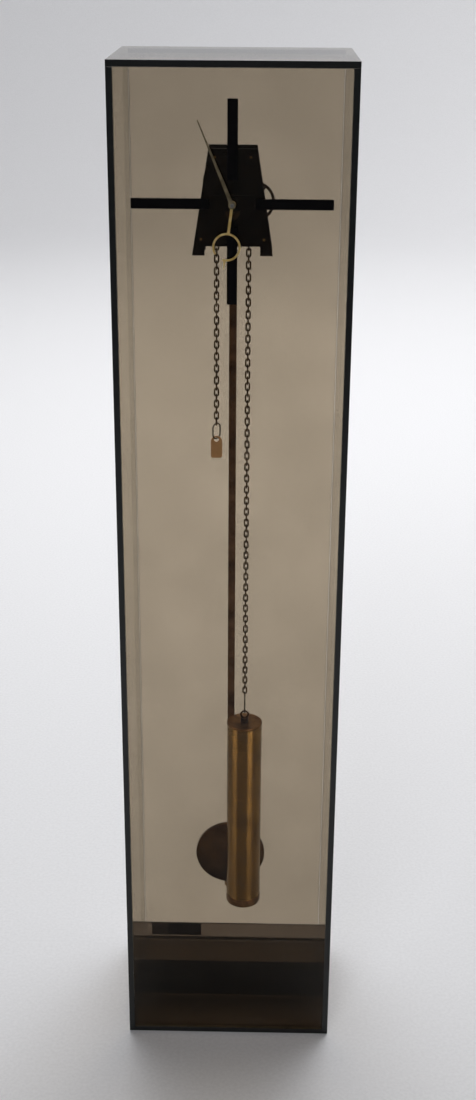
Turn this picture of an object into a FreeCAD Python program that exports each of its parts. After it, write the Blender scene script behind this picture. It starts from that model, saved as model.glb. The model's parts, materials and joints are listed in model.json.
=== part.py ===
import FreeCAD, Part
import math
import os

# Weight-driven long-case clock in a smoked acrylic case, in millimetres.
# The origin is the middle of the case's underside. +X is to the right of
# somebody who reads the dial, -Y is towards that person and +Z is up.
# "Depth" is the distance behind the front face of the case.

os.makedirs("parts", exist_ok=True)
V = FreeCAD.Vector

# ---- Case: five glued acrylic panels, an inset front and a lift-out back
CASE_W = 355.6
CASE_D = 266.7
CASE_H = 1670.0
PANEL_T = 9.5
FRONT_T = 6.0
BACK_T = 6.0
BACK_INSET = 2.5
BACK_SIDE_GAP = 0.5
GROOVE_GAP = 0.3
GROOVE_BOTTOM = 2.5
GROOVE_TOP = 6.5
BACK_TOP_ENGAGED = 3.0
LOWER_SHEET_T = 3.0
LOWER_SHEET_TOP = 230.0
RAIL_DEPTH = 92.0
RAIL_T = 12.0
RAIL_TOP = 76.0
PLATE_LABEL_W = 86.0
PLATE_LABEL_H = 24.0
PLATE_LABEL_T = 1.0
PLATE_LABEL_X = -92.0
PLATE_LABEL_DROP = 3.0

FRONT_Y = -CASE_D / 2
INNER_W = CASE_W - 2 * PANEL_T

# ---- Dial: four bars on the front panel, two hands in front of it
DIAL_Z = 1474.0
BAR_INNER = 33.5
BAR_OUTER = 145.5
BAR_W = 15.0
BAR_T = 3.0
MINUTE_LENGTH = 128.0
MINUTE_BASE_W = 6.0
MINUTE_TIP_W = 1.2
MINUTE_ANGLE = -22.8
HOUR_RING_RADIUS = 19.0
HOUR_RING_WIRE = 3.0
HOUR_RING_GAP = (39.5, 79.5)
HOUR_RING_CENTRE = 61.0
HOUR_LENGTH = 94.0
HOUR_STEM_W = 4.0
HOUR_ANGLE = 187.5
HAND_HUB_R = 5.5
HOUR_HAND_T = 1.0
MINUTE_HAND_T = 0.9

# ---- Movement: two trapezoid plates with the train between them
PLATE_T = 2.5
FRONT_PLATE_DEPTH = 16.0
PLATE_SPACING = 42.0
PLATE_TOP_Z = 1549.0
PLATE_FOOT_Z = 1396.5
PLATE_ARCH_Z = 1410.0
PLATE_TOP_HALF = 35.0
PLATE_FOOT_HALF = 59.0
FOOT_INNER_HALF = 40.6
PILLARS = ((-26.0, 1537.0), (26.0, 1537.0), (-46.0, 1420.0), (46.0, 1420.0))
PILLAR_R = 4.0
RIVET_R = 2.0
SCREW_R = 1.5
SCREW_HEAD_R = 3.5
SCREW_HEAD_T = 1.6
SCREW_LENGTH = 6.0

PLATE_FRONT_INNER = FRONT_PLATE_DEPTH + PLATE_T
PLATE_BACK_INNER = PLATE_FRONT_INNER + PLATE_SPACING
PLATE_BACK_OUTER = PLATE_BACK_INNER + PLATE_T

ARBOR_R = 1.2
PIVOT_R = 0.8
GREAT_ARBOR_R = 2.5
GREAT_PIVOT_R = 1.5
PIVOT_END = 0.5
FIT = 0.07
SHOULDER = 0.7
OVERCUT = 1.0

# ---- Train: teeth, modules and the depths of the wheels
CENTRE_LEAVES = 8
INTERMEDIATE_TEETH = 82
INTERMEDIATE_MODULE = 0.72
INTERMEDIATE_LEAVES = 29
GREAT_TEETH = 82
GREAT_MODULE = 0.8
CENTRE_TEETH = 64
CENTRE_MODULE = 0.92
THIRD_LEAVES = 8
THIRD_TEETH = 55
THIRD_MODULE = 0.8
ESCAPE_LEAVES = 8
ESCAPE_TEETH = 30
ESCAPE_R = 15.0
CANNON_LEAVES = 12
MINUTE_TEETH = 36
MINUTE_LEAVES = 10
HOUR_TEETH = 40
MOTION_MODULE = 0.6
WHEEL_T = 1.5
WHEEL_HUB_R = 5.0
WHEEL_RIM = 3.6
INTERMEDIATE_RIM = 4.0
GREAT_RIM = 11.0
SPOKE_W = 3.0
SPOKE_TURN = 18.0
PINION_LIP = 1.0

CENTRE_WHEEL_DEPTH = 22.0
ESCAPE_DEPTH = 40.0
THIRD_WHEEL_DEPTH = 50.0
GREAT_WHEEL_DEPTH = 50.0
INTERMEDIATE_WHEEL_DEPTH = 54.5
ANCHOR_DROP = 21.2


def pair_distance(teeth_a, teeth_b, module):
    return module * (teeth_a + teeth_b) / 2


INTERMEDIATE_X = 32.0
INTERMEDIATE_Z = DIAL_Z - math.sqrt(
    pair_distance(INTERMEDIATE_TEETH, CENTRE_LEAVES, INTERMEDIATE_MODULE) ** 2
    - INTERMEDIATE_X ** 2)
GREAT_X = 0.0
GREAT_Z = INTERMEDIATE_Z - math.sqrt(
    pair_distance(GREAT_TEETH, INTERMEDIATE_LEAVES, GREAT_MODULE) ** 2 - INTERMEDIATE_X ** 2)
THIRD_X = -22.5
THIRD_Z = DIAL_Z + math.sqrt(
    pair_distance(CENTRE_TEETH, THIRD_LEAVES, CENTRE_MODULE) ** 2 - THIRD_X ** 2)
ESCAPE_Z = THIRD_Z + math.sqrt(
    pair_distance(THIRD_TEETH, ESCAPE_LEAVES, THIRD_MODULE) ** 2 - THIRD_X ** 2)
ANCHOR_Z = ESCAPE_Z + ANCHOR_DROP
MOTION_DISTANCE = pair_distance(CANNON_LEAVES, MINUTE_TEETH, MOTION_MODULE)
HOUR_MODULE = 2 * MOTION_DISTANCE / (MINUTE_LEAVES + HOUR_TEETH)
MINUTE_WHEEL_Z = DIAL_Z - MOTION_DISTANCE

# ---- Chain, weight and pendulum
LINK_PITCH = 9.3
LINK_WIRE_R = 1.0
LINK_END_R = 3.3
LINK_PLAY = 0.15
LINKS_OVER_SPROCKET = 8
LINKS_WEIGHT_SIDE = 83
LINKS_PULL_SIDE = 33
CHAIN_DEPTH = 42.0
CHAIN_R = LINKS_OVER_SPROCKET * LINK_PITCH / math.pi
CHAIN_Y = FRONT_Y + CHAIN_DEPTH
SPROCKET_HALF_W = 5.0
SPROCKET_FLANGE_R = 28.5
SPROCKET_SEAT_R = 21.9
SPROCKET_GROOVE_R = 18.5
SPROCKET_GROOVE_HALF = 1.5
SPROCKET_POCKET_R = 2.4
SPROCKET_POCKET_RISE = 1.6
SPROCKET_POCKET_HALF = 3.6
SPROCKET_CHAIN_GAP = 1.3
RATCHET_TEETH = 24
RATCHET_R = 15.0
RATCHET_ROOT_R = 13.4
CLICK_PIVOT_R = 22.0

WEIGHT_R = 29.0
WEIGHT_TOP = 612.0
WEIGHT_BOTTOM = 259.0
WEIGHT_WALL = 1.0
WEIGHT_LIP = 0.4
TOP_CAP_H = 4.0
BOTTOM_CAP_H = 15.0
CORE_H = 215.0
EYE_BOSS_R = 6.5
EYE_BOSS_H = 7.5
EYE_SUNK = 1.5
EYE_R = 6.0
EYE_WIRE_R = 1.6
CORE_PLAY = 0.2
TOP_CAP_ROUND = 1.0
BOTTOM_CAP_ROUND = 1.5
HOOK_WIRE_R = 1.0
HOOK_END_R = 3.0

RING_WIRE_R = 1.0
RING_END_R = 6.8
RING_HEIGHT = 24.3
RING_YAW = 38.0
TAG_W = 17.6
TAG_H = 36.0
TAG_T = 1.2
TAG_HOLE_R = 3.7
TAG_CORNER_R = 4.0
TAG_HOLE_DROP = 1.8
TAG_HOLE_LAND = 2.4

PENDULUM_DEPTH = 88.0
PENDULUM_Y = FRONT_Y + PENDULUM_DEPTH
BOB_R = 60.0
BOB_Z = 324.0
BOB_T = 22.0
BOB_RIM_T = 6.0
ROD_W = 11.5
ROD_T = 3.0
ROD_TOP_Z = 1502.0
RATING_R = 2.0
RATING_NUT_R = 10.0
RATING_NUT_H = 7.0
SCREW_INSIDE_BOB = 14.0
SCREW_BELOW_BOB = 24.0
SCREW_HEADROOM = 6.0
ROD_INSIDE_BOB = 12.0
BOB_SLOT_LAND = 4.0
NUT_FLUTES = 12
NUT_FLUTE_R = 1.6
NUT_FLUTE_OUT = 0.8
HOOK_H = 8.0
SPRING_W = 10.0
SPRING_T = 0.3
PIVOT_GAP = 0.4
BOB_PLAY = 0.3


# ---- Small shape helpers
def box(x0, x1, y0, y1, z0, z1):
    return Part.makeBox(x1 - x0, y1 - y0, z1 - z0, V(x0, y0, z0))


def disc(x, z, radius, depth0, depth1):
    """A cylinder along Y between two depths behind the case's front face."""
    return Part.makeCylinder(radius, depth1 - depth0, V(x, FRONT_Y + depth0, z), V(0, 1, 0))


def upright(x, y, radius, z0, z1):
    return Part.makeCylinder(radius, z1 - z0, V(x, y, z0), V(0, 0, 1))


def plate(points, depth0, depth1):
    """A flat piece whose outline is given as (x, z) points."""
    loop = [V(x, FRONT_Y + depth0, z) for x, z in points]
    face = Part.Face(Part.makePolygon(loop + [loop[0]]))
    return face.extrude(V(0, depth1 - depth0, 0))


def polar(x, z, radius, angle):
    return (x + radius * math.cos(angle), z + radius * math.sin(angle))


def mirrored(points):
    """Closes an outline that is given for x > 0, from its top to its foot."""
    return points + [(-x, z) for x, z in reversed(points)]


def fuse_all(shapes):
    result = shapes[0]
    for shape in shapes[1:]:
        result = result.fuse(shape)
    return result.removeSplitter()


def cut_all(shape, tools):
    for tool in tools:
        shape = shape.cut(tool)
    return shape


def save(name, shape):
    solids = shape.Solids
    kept = solids[0] if len(solids) == 1 else Part.makeCompound(solids)
    if not kept.isValid() or not solids:
        print("BAD SHAPE", name)
    kept.exportStep("parts/" + name + ".step")
    box_now = kept.BoundBox
    print(f"{name:22s} solids {len(solids):3d}  y {box_now.YMin:8.2f} {box_now.YMax:8.2f}"
          f"  z {box_now.ZMin:8.2f} {box_now.ZMax:8.2f}")


# ---- Gearing: straight-flanked teeth with generous backlash
TIP_HEIGHT = 0.5
ROOT_DEPTH = 0.8
HALF_TIP = 0.12
HALF_ROOT = 0.24


def gear_points(x, z, teeth, module, phase):
    pitch_r = module * teeth / 2
    tip_r = pitch_r + TIP_HEIGHT * module
    root_r = pitch_r - ROOT_DEPTH * module
    step = 2 * math.pi / teeth
    points = []
    for index in range(teeth):
        angle = phase + index * step
        points.append(polar(x, z, root_r, angle - HALF_ROOT * step))
        points.append(polar(x, z, tip_r, angle - HALF_TIP * step))
        points.append(polar(x, z, tip_r, angle + HALF_TIP * step))
        points.append(polar(x, z, root_r, angle + HALF_ROOT * step))
    return points


def gear(x, z, teeth, module, phase, depth0, depth1):
    return plate(gear_points(x, z, teeth, module, phase), depth0, depth1)


def mesh_phase(ax, az, teeth_a, phase_a, bx, bz, teeth_b):
    """The phase that puts gear B in mesh with gear A."""
    line = math.atan2(bz - az, bx - ax)
    return line + math.pi - (math.pi - (line - phase_a) * teeth_a) / teeth_b


def crossings(x, z, hub_r, rim_r, spokes, spoke_w, turn, depth0, depth1):
    """The windows that leave a rim, a hub and straight spokes."""
    ring = disc(x, z, rim_r, depth0 - 1, depth1 + 1).cut(disc(x, z, hub_r, depth0 - 2, depth1 + 2))
    centre = V(x, 0, z)
    for index in range(spokes):
        arm = box(x, x + rim_r + 1, FRONT_Y + depth0 - 2, FRONT_Y + depth1 + 2,
                  z - spoke_w / 2, z + spoke_w / 2)
        arm.rotate(centre, V(0, 1, 0), turn + index * 360.0 / spokes)
        ring = ring.cut(arm)
    return ring


def crossed_wheel(x, z, teeth, module, phase, depth, bore, spokes=5, rim=WHEEL_RIM):
    root_r = module * teeth / 2 - ROOT_DEPTH * module
    wheel = gear(x, z, teeth, module, phase, depth, depth + WHEEL_T)
    windows = crossings(x, z, WHEEL_HUB_R, root_r - rim, spokes, SPOKE_W, SPOKE_TURN,
                        depth, depth + WHEEL_T)
    hole = disc(x, z, bore, depth - OVERCUT, depth + WHEEL_T + OVERCUT)
    return cut_all(wheel, [windows, hole])


def plain_arbor(x, z, radius, pivot_r):
    """An arbor that fills the space between the plates, with a pivot in each."""
    middle = disc(x, z, radius, PLATE_FRONT_INNER + SHOULDER, PLATE_BACK_INNER - SHOULDER)
    pivots = disc(x, z, pivot_r, FRONT_PLATE_DEPTH + PIVOT_END, PLATE_BACK_OUTER - PIVOT_END)
    return middle.fuse(pivots)


# ---- Case
def case_panels():
    half = CASE_W / 2
    back_y = CASE_D / 2
    under_top = CASE_H - PANEL_T
    groove_y1 = back_y - BACK_INSET + GROOVE_GAP
    groove_y0 = back_y - BACK_INSET - BACK_T - GROOVE_GAP
    side = box(-half, -half + PANEL_T, FRONT_Y, back_y, 0, under_top)
    save("side_panel_left", side)
    save("side_panel_right", side.mirror(V(0, 0, 0), V(1, 0, 0)))
    top_groove = box(-INNER_W / 2, INNER_W / 2, groove_y0, groove_y1, under_top, under_top + GROOVE_TOP)
    save("top_panel", box(-half, half, FRONT_Y, back_y, under_top, CASE_H).cut(top_groove))
    floor_groove = box(-INNER_W / 2, INNER_W / 2, groove_y0, groove_y1,
                       PANEL_T - GROOVE_BOTTOM, PANEL_T)
    floor = box(-INNER_W / 2, INNER_W / 2, FRONT_Y, back_y, 0, PANEL_T)
    save("bottom_panel", floor.cut(floor_groove))
    front = box(-INNER_W / 2, INNER_W / 2, FRONT_Y, FRONT_Y + FRONT_T, PANEL_T, under_top)
    save("front_panel", front.cut(disc(0, DIAL_Z, BUSH_R, -1, FRONT_T + 1)))
    back = box(-INNER_W / 2 + BACK_SIDE_GAP, INNER_W / 2 - BACK_SIDE_GAP,
               back_y - BACK_INSET - BACK_T, back_y - BACK_INSET,
               PANEL_T - GROOVE_BOTTOM + GROOVE_GAP, under_top + BACK_TOP_ENGAGED)
    save("back_panel", back)


def base_pieces():
    sheet_y0 = FRONT_Y + FRONT_T
    sheet_y1 = sheet_y0 + LOWER_SHEET_T
    save("lower_front_panel",
         box(-INNER_W / 2, INNER_W / 2, sheet_y0, sheet_y1, PANEL_T, LOWER_SHEET_TOP))
    save("base_rail", box(-INNER_W / 2, INNER_W / 2, FRONT_Y + RAIL_DEPTH,
                          FRONT_Y + RAIL_DEPTH + RAIL_T, PANEL_T, RAIL_TOP))
    label_z1 = LOWER_SHEET_TOP - PLATE_LABEL_DROP
    label = box(PLATE_LABEL_X - PLATE_LABEL_W / 2, PLATE_LABEL_X + PLATE_LABEL_W / 2,
                sheet_y1, sheet_y1 + PLATE_LABEL_T, label_z1 - PLATE_LABEL_H, label_z1)
    save("blank_name_plate", label)


# ---- Dial and hands
BUSH_R = 5.0
BUSH_BORE_R = 3.4
BUSH_FRONT = -5.0
HOUR_PIPE_R = 3.33
HOUR_PIPE_BORE_R = 2.1
CANNON_PIPE_R = 2.05
HOUR_HAND_DEPTH = -8.8
MINUTE_HAND_DEPTH = -14.0
ARBOR_FRONT = -18.0
NUT_R = 8.0
NUT_T = 3.0
BRIDGE_T = 2.0
BRIDGE_HALF_W = 27.0
BRIDGE_HALF_H = 11.0
BRIDGE_POST_X = 22.0
BRIDGE_POST_R = 2.5
HAND_NUT_R = 2.7
HAND_NUT_T = 2.6
STUD_R = 1.0


def dial_bars():
    upright_bar = box(-BAR_W / 2, BAR_W / 2, FRONT_Y - BAR_T, FRONT_Y,
                      DIAL_Z + BAR_INNER, DIAL_Z + BAR_OUTER)
    bars = []
    for quarter in range(4):
        bar = upright_bar.copy()
        bar.rotate(V(0, 0, DIAL_Z), V(0, 1, 0), 90.0 * quarter)
        bars.append(bar)
    save("hour_bars", Part.makeCompound(bars))


def minute_hand():
    depth1 = MINUTE_HAND_DEPTH + MINUTE_HAND_T
    needle = plate([(-MINUTE_BASE_W / 2, DIAL_Z), (-MINUTE_TIP_W / 2, DIAL_Z + MINUTE_LENGTH),
                    (MINUTE_TIP_W / 2, DIAL_Z + MINUTE_LENGTH), (MINUTE_BASE_W / 2, DIAL_Z)],
                   MINUTE_HAND_DEPTH, depth1)
    hub = disc(0, DIAL_Z, HAND_HUB_R, MINUTE_HAND_DEPTH, depth1)
    hole = disc(0, DIAL_Z, CANNON_PIPE_R, MINUTE_HAND_DEPTH - 1, depth1 + 1)
    hand = fuse_all([needle, hub]).cut(hole)
    hand.rotate(V(0, 0, DIAL_Z), V(0, 1, 0), MINUTE_ANGLE)
    save("minute_hand", hand)


def hour_hand():
    depth0 = HOUR_HAND_DEPTH
    depth1 = HOUR_HAND_DEPTH + HOUR_HAND_T
    ring_z = DIAL_Z + HOUR_RING_CENTRE
    outer = HOUR_RING_RADIUS + HOUR_RING_WIRE / 2
    inner = HOUR_RING_RADIUS - HOUR_RING_WIRE / 2
    half = HOUR_STEM_W / 2
    stem = box(-half, half, FRONT_Y + depth0, FRONT_Y + depth1,
               DIAL_Z, ring_z - HOUR_RING_RADIUS)
    ring = disc(0, ring_z, outer, depth0, depth1).cut(disc(0, ring_z, inner, depth0 - 1, depth1 + 1))
    # the ring is open on one side of the tip
    gap = plate([(0, ring_z)] + [polar(0, ring_z, 2 * outer, math.radians(angle)) for angle in HOUR_RING_GAP],
                depth0 - 1, depth1 + 1)
    ring = ring.cut(gap)
    tip = plate([(-half, ring_z + HOUR_RING_RADIUS), (0, DIAL_Z + HOUR_LENGTH),
                 (half, ring_z + HOUR_RING_RADIUS)], depth0, depth1)
    hub = disc(0, DIAL_Z, HAND_HUB_R, depth0, depth1)
    hand = fuse_all([stem, ring, tip, hub]).cut(disc(0, DIAL_Z, HOUR_PIPE_R, depth0 - 1, depth1 + 1))
    hand.rotate(V(0, 0, DIAL_Z), V(0, 1, 0), HOUR_ANGLE)
    save("hour_hand", hand)


def centre_fixing():
    bridge = box(-BRIDGE_HALF_W, BRIDGE_HALF_W, FRONT_Y + FRONT_T, FRONT_Y + FRONT_T + BRIDGE_T,
                 DIAL_Z - BRIDGE_HALF_H, DIAL_Z + BRIDGE_HALF_H)
    bridge_back = FRONT_T + BRIDGE_T
    save("motion_bridge", bridge.cut(disc(0, DIAL_Z, BUSH_R, 0, bridge_back + 1)))
    posts = [disc(side * BRIDGE_POST_X, DIAL_Z, BRIDGE_POST_R, bridge_back, FRONT_PLATE_DEPTH)
             for side in (-1, 1)]
    save("bridge_posts", Part.makeCompound(posts))
    bush = disc(0, DIAL_Z, BUSH_R, BUSH_FRONT, bridge_back)
    save("centre_bush", bush.cut(disc(0, DIAL_Z, BUSH_BORE_R, BUSH_FRONT - 1, bridge_back + 1)))
    nut = disc(0, DIAL_Z, NUT_R, -NUT_T, 0).cut(disc(0, DIAL_Z, BUSH_R, -NUT_T - 1, 1))
    save("centre_nut", nut)
    hand_nut = disc(0, DIAL_Z, HAND_NUT_R, MINUTE_HAND_DEPTH - HAND_NUT_T, MINUTE_HAND_DEPTH)
    save("hand_nut", hand_nut.cut(disc(0, DIAL_Z, ARBOR_R, ARBOR_FRONT - 1, 0)))


# ---- Motion work, between the bridge and the front plate
HOUR_WHEEL_DEPTH = 9.0
HOUR_WHEEL_T = 1.2
MINUTE_PINION_DEPTH = 8.7
MINUTE_WHEEL_DEPTH = 12.0
MINUTE_WHEEL_T = 1.2
CANNON_TEETH_DEPTH = 11.5
CANNON_BACK = 15.0


def motion_work():
    cannon_phase = 0.0
    minute_phase = mesh_phase(0, DIAL_Z, CANNON_LEAVES, cannon_phase, 0, MINUTE_WHEEL_Z, MINUTE_TEETH)
    pinion_phase = 0.0
    hour_phase = mesh_phase(0, MINUTE_WHEEL_Z, MINUTE_LEAVES, pinion_phase, 0, DIAL_Z, HOUR_TEETH)
    pipe_front = MINUTE_HAND_DEPTH
    cannon = fuse_all([gear(0, DIAL_Z, CANNON_LEAVES, MOTION_MODULE, cannon_phase,
                            CANNON_TEETH_DEPTH, CANNON_BACK),
                       disc(0, DIAL_Z, CANNON_PIPE_R, pipe_front, CANNON_BACK)])
    save("cannon_pinion", cannon.cut(disc(0, DIAL_Z, ARBOR_R, pipe_front - 1, CANNON_BACK + 1)))
    hour_pipe_front = HOUR_HAND_DEPTH
    hour_back = HOUR_WHEEL_DEPTH + HOUR_WHEEL_T
    hour = fuse_all([gear(0, DIAL_Z, HOUR_TEETH, HOUR_MODULE, hour_phase, HOUR_WHEEL_DEPTH, hour_back),
                     disc(0, DIAL_Z, HOUR_PIPE_R, hour_pipe_front, hour_back)])
    save("hour_wheel", hour.cut(disc(0, DIAL_Z, HOUR_PIPE_BORE_R, hour_pipe_front - 1, hour_back + 1)))
    minute_back = MINUTE_WHEEL_DEPTH + MINUTE_WHEEL_T
    minute = fuse_all([gear(0, MINUTE_WHEEL_Z, MINUTE_TEETH, MOTION_MODULE, minute_phase,
                            MINUTE_WHEEL_DEPTH, minute_back),
                       gear(0, MINUTE_WHEEL_Z, MINUTE_LEAVES, HOUR_MODULE, pinion_phase,
                            MINUTE_PINION_DEPTH, MINUTE_WHEEL_DEPTH)])
    save("minute_wheel", minute.cut(disc(0, MINUTE_WHEEL_Z, STUD_R + FIT, 0, FRONT_PLATE_DEPTH)))
    save("minute_wheel_stud", disc(0, MINUTE_WHEEL_Z, STUD_R, MINUTE_PINION_DEPTH, FRONT_PLATE_DEPTH))


# ---- Movement frame
def plate_outline():
    return mirrored([(PLATE_TOP_HALF, PLATE_TOP_Z), (PLATE_FOOT_HALF, PLATE_FOOT_Z),
                     (FOOT_INNER_HALF, PLATE_FOOT_Z), (FOOT_INNER_HALF, PLATE_ARCH_Z)])


def pivot_holes(depth0, depth1, centre_r, anchor_r):
    small = PIVOT_R + FIT
    return [disc(0, DIAL_Z, centre_r, depth0, depth1),
            disc(INTERMEDIATE_X, INTERMEDIATE_Z, small, depth0, depth1),
            disc(GREAT_X, GREAT_Z, GREAT_PIVOT_R + FIT, depth0, depth1),
            disc(THIRD_X, THIRD_Z, small, depth0, depth1),
            disc(0, ESCAPE_Z, small, depth0, depth1),
            disc(0, ANCHOR_Z, anchor_r, depth0, depth1)]


def movement_frame():
    front_holes = pivot_holes(0, PLATE_FRONT_INNER + 1, ARBOR_R + FIT, PIVOT_R + FIT)
    front_holes += [disc(x, z, RIVET_R, 0, PLATE_FRONT_INNER + 1) for x, z in PILLARS]
    front = plate(plate_outline(), FRONT_PLATE_DEPTH, PLATE_FRONT_INNER)
    save("front_plate", cut_all(front, front_holes))
    back_holes = pivot_holes(PLATE_BACK_INNER - 1, PLATE_BACK_OUTER + 1, PIVOT_R + FIT, ARBOR_R + FIT)
    back_holes += [disc(x, z, SCREW_R, PLATE_BACK_INNER - 1, PLATE_BACK_OUTER + 1) for x, z in PILLARS]
    back_holes += [disc(x, COCK_SCREW_Z, SCREW_R, PLATE_BACK_INNER - 1, PLATE_BACK_OUTER + 1)
                   for x in (-COCK_SCREW_X, COCK_SCREW_X)]
    back = plate(plate_outline(), PLATE_BACK_INNER, PLATE_BACK_OUTER)
    save("back_plate", cut_all(back, back_holes))
    pillars = []
    for x, z in PILLARS:
        body = disc(x, z, PILLAR_R, PLATE_FRONT_INNER, PLATE_BACK_INNER)
        tenon = disc(x, z, RIVET_R, FRONT_PLATE_DEPTH, PLATE_FRONT_INNER)
        socket = disc(x, z, SCREW_R, PLATE_BACK_INNER - SCREW_LENGTH + PLATE_T, PLATE_BACK_INNER)
        pillars.append(body.fuse(tenon).cut(socket))
    save("plate_pillars", Part.makeCompound(pillars))
    screws = []
    for x, z in PILLARS:
        shank = disc(x, z, SCREW_R, PLATE_BACK_OUTER - SCREW_LENGTH, PLATE_BACK_OUTER)
        head = disc(x, z, SCREW_HEAD_R, PLATE_BACK_OUTER, PLATE_BACK_OUTER + SCREW_HEAD_T)
        screws.append(shank.fuse(head))
    cock_front = PLATE_BACK_OUTER + COCK_FOOT_T
    for x in (-COCK_SCREW_X, COCK_SCREW_X):
        shank = disc(x, COCK_SCREW_Z, SCREW_R, cock_front - PLATE_T - COCK_FOOT_T, cock_front)
        head = disc(x, COCK_SCREW_Z, SCREW_HEAD_R, cock_front, cock_front + SCREW_HEAD_T)
        screws.append(shank.fuse(head))
    save("movement_screws", Part.makeCompound(screws))


# ---- Cock that carries the pendulum, on the back plate
COCK_FOOT_T = 2.5
COCK_HALF_W = 15.0
COCK_Z0 = ANCHOR_Z + 5.5
COCK_Z1 = PLATE_TOP_Z - 1.0
COCK_ARM_HALF = 6.0
COCK_ARM_T = 6.0
COCK_SCREW_X = 10.5
COCK_SCREW_Z = COCK_Z0 + 6.0
BLOCK_HALF_X = 3.0
BLOCK_HALF_Y = 6.0


def pendulum_cock():
    foot = box(-COCK_HALF_W, COCK_HALF_W, FRONT_Y + PLATE_BACK_OUTER,
               FRONT_Y + PLATE_BACK_OUTER + COCK_FOOT_T, COCK_Z0, COCK_Z1)
    arm = box(-COCK_ARM_HALF, COCK_ARM_HALF, FRONT_Y + PLATE_BACK_OUTER,
              PENDULUM_Y + BLOCK_HALF_Y + 2, COCK_Z0 + 1, COCK_Z0 + 1 + COCK_ARM_T)
    holes = [disc(x, COCK_SCREW_Z, SCREW_R, PLATE_BACK_OUTER - 1, PLATE_BACK_OUTER + COCK_FOOT_T + 1)
             for x in (-COCK_SCREW_X, COCK_SCREW_X)]
    save("pendulum_cock", cut_all(fuse_all([foot, arm]), holes))
    save("suspension_block", box(-BLOCK_HALF_X, BLOCK_HALF_X, PENDULUM_Y - BLOCK_HALF_Y,
                                 PENDULUM_Y + BLOCK_HALF_Y, ANCHOR_Z, COCK_Z0 + 1))


# ---- Going train
def centre_arbor():
    arbor = fuse_all([disc(0, DIAL_Z, ARBOR_R, ARBOR_FRONT, PLATE_BACK_INNER - SHOULDER),
                      disc(0, DIAL_Z, PIVOT_R, PLATE_BACK_INNER - 2 * SHOULDER,
                           PLATE_BACK_OUTER - PIVOT_END),
                      gear(0, DIAL_Z, CENTRE_LEAVES, INTERMEDIATE_MODULE, 0.0,
                           INTERMEDIATE_WHEEL_DEPTH - PINION_LIP,
                           INTERMEDIATE_WHEEL_DEPTH + WHEEL_T + PINION_LIP)])
    save("centre_arbor", arbor)
    save("centre_wheel", crossed_wheel(0, DIAL_Z, CENTRE_TEETH, CENTRE_MODULE, 0.0,
                                       CENTRE_WHEEL_DEPTH, ARBOR_R))


def intermediate_arbor():
    wheel_phase = mesh_phase(0, DIAL_Z, CENTRE_LEAVES, 0.0,
                             INTERMEDIATE_X, INTERMEDIATE_Z, INTERMEDIATE_TEETH)
    save("intermediate_wheel",
         crossed_wheel(INTERMEDIATE_X, INTERMEDIATE_Z, INTERMEDIATE_TEETH, INTERMEDIATE_MODULE,
                       wheel_phase, INTERMEDIATE_WHEEL_DEPTH, ARBOR_R, 5, INTERMEDIATE_RIM))
    pinion = gear(INTERMEDIATE_X, INTERMEDIATE_Z, INTERMEDIATE_LEAVES, GREAT_MODULE, 0.0,
                  GREAT_WHEEL_DEPTH - PINION_LIP, INTERMEDIATE_WHEEL_DEPTH)
    save("intermediate_arbor",
         fuse_all([plain_arbor(INTERMEDIATE_X, INTERMEDIATE_Z, ARBOR_R, PIVOT_R), pinion]))


def great_arbor():
    phase = mesh_phase(INTERMEDIATE_X, INTERMEDIATE_Z, INTERMEDIATE_LEAVES, 0.0,
                       GREAT_X, GREAT_Z, GREAT_TEETH)
    wheel = crossed_wheel(GREAT_X, GREAT_Z, GREAT_TEETH, GREAT_MODULE, phase,
                          GREAT_WHEEL_DEPTH, GREAT_ARBOR_R, 4, GREAT_RIM)
    save("great_wheel", wheel)
    save("great_arbor", plain_arbor(GREAT_X, GREAT_Z, GREAT_ARBOR_R, GREAT_PIVOT_R))
    pivot = polar(GREAT_X, GREAT_Z, CLICK_PIVOT_R, 0.0)
    pin = disc(pivot[0], pivot[1], CLICK_PIN_R, CLICK_DEPTH, GREAT_WHEEL_DEPTH)
    save("click_pin", pin)


# The click and its ratchet share one plane, between the sprocket and the great wheel
CLICK_PIN_R = 1.2
CLICK_T = 2.0
CLICK_WHEEL_GAP = 0.6
CLICK_DEPTH = GREAT_WHEEL_DEPTH - CLICK_T - CLICK_WHEEL_GAP
CLICK_HUB_R = 3.0
CLICK_HALF_W = 2.4
CLICK_TIP_GAP = 0.35
CLICK_TIP_W = 2.6
CLICK_TIP_ANGLE = math.radians(32)
TOOTH_LEAN = 0.06
RATCHET_DEPTH = CHAIN_DEPTH + SPROCKET_HALF_W


def click_and_ratchet():
    px, pz = polar(GREAT_X, GREAT_Z, CLICK_PIVOT_R, 0.0)
    click_back = CLICK_DEPTH + CLICK_T
    tip = polar(GREAT_X, GREAT_Z, RATCHET_R + CLICK_TIP_GAP, CLICK_TIP_ANGLE)
    tip_back = polar(GREAT_X, GREAT_Z, RATCHET_R + CLICK_TIP_GAP + CLICK_TIP_W, CLICK_TIP_ANGLE)
    lever = plate([(px - CLICK_HALF_W, pz), (px + CLICK_HALF_W, pz), tip_back, tip],
                  CLICK_DEPTH, click_back)
    hub = disc(px, pz, CLICK_HUB_R, CLICK_DEPTH, click_back)
    bore = disc(px, pz, CLICK_PIN_R + FIT, CLICK_DEPTH - OVERCUT, click_back + OVERCUT)
    save("click", fuse_all([lever, hub]).cut(bore))
    step = 2 * math.pi / RATCHET_TEETH
    points = []
    for index in range(RATCHET_TEETH):
        points.append(polar(GREAT_X, GREAT_Z, RATCHET_ROOT_R, index * step))
        points.append(polar(GREAT_X, GREAT_Z, RATCHET_R, (index + TOOTH_LEAN) * step))
    ratchet = plate(points, RATCHET_DEPTH, click_back)
    save("ratchet_wheel", ratchet.cut(disc(GREAT_X, GREAT_Z, GREAT_ARBOR_R + FIT, 0, PLATE_BACK_INNER)))


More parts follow.
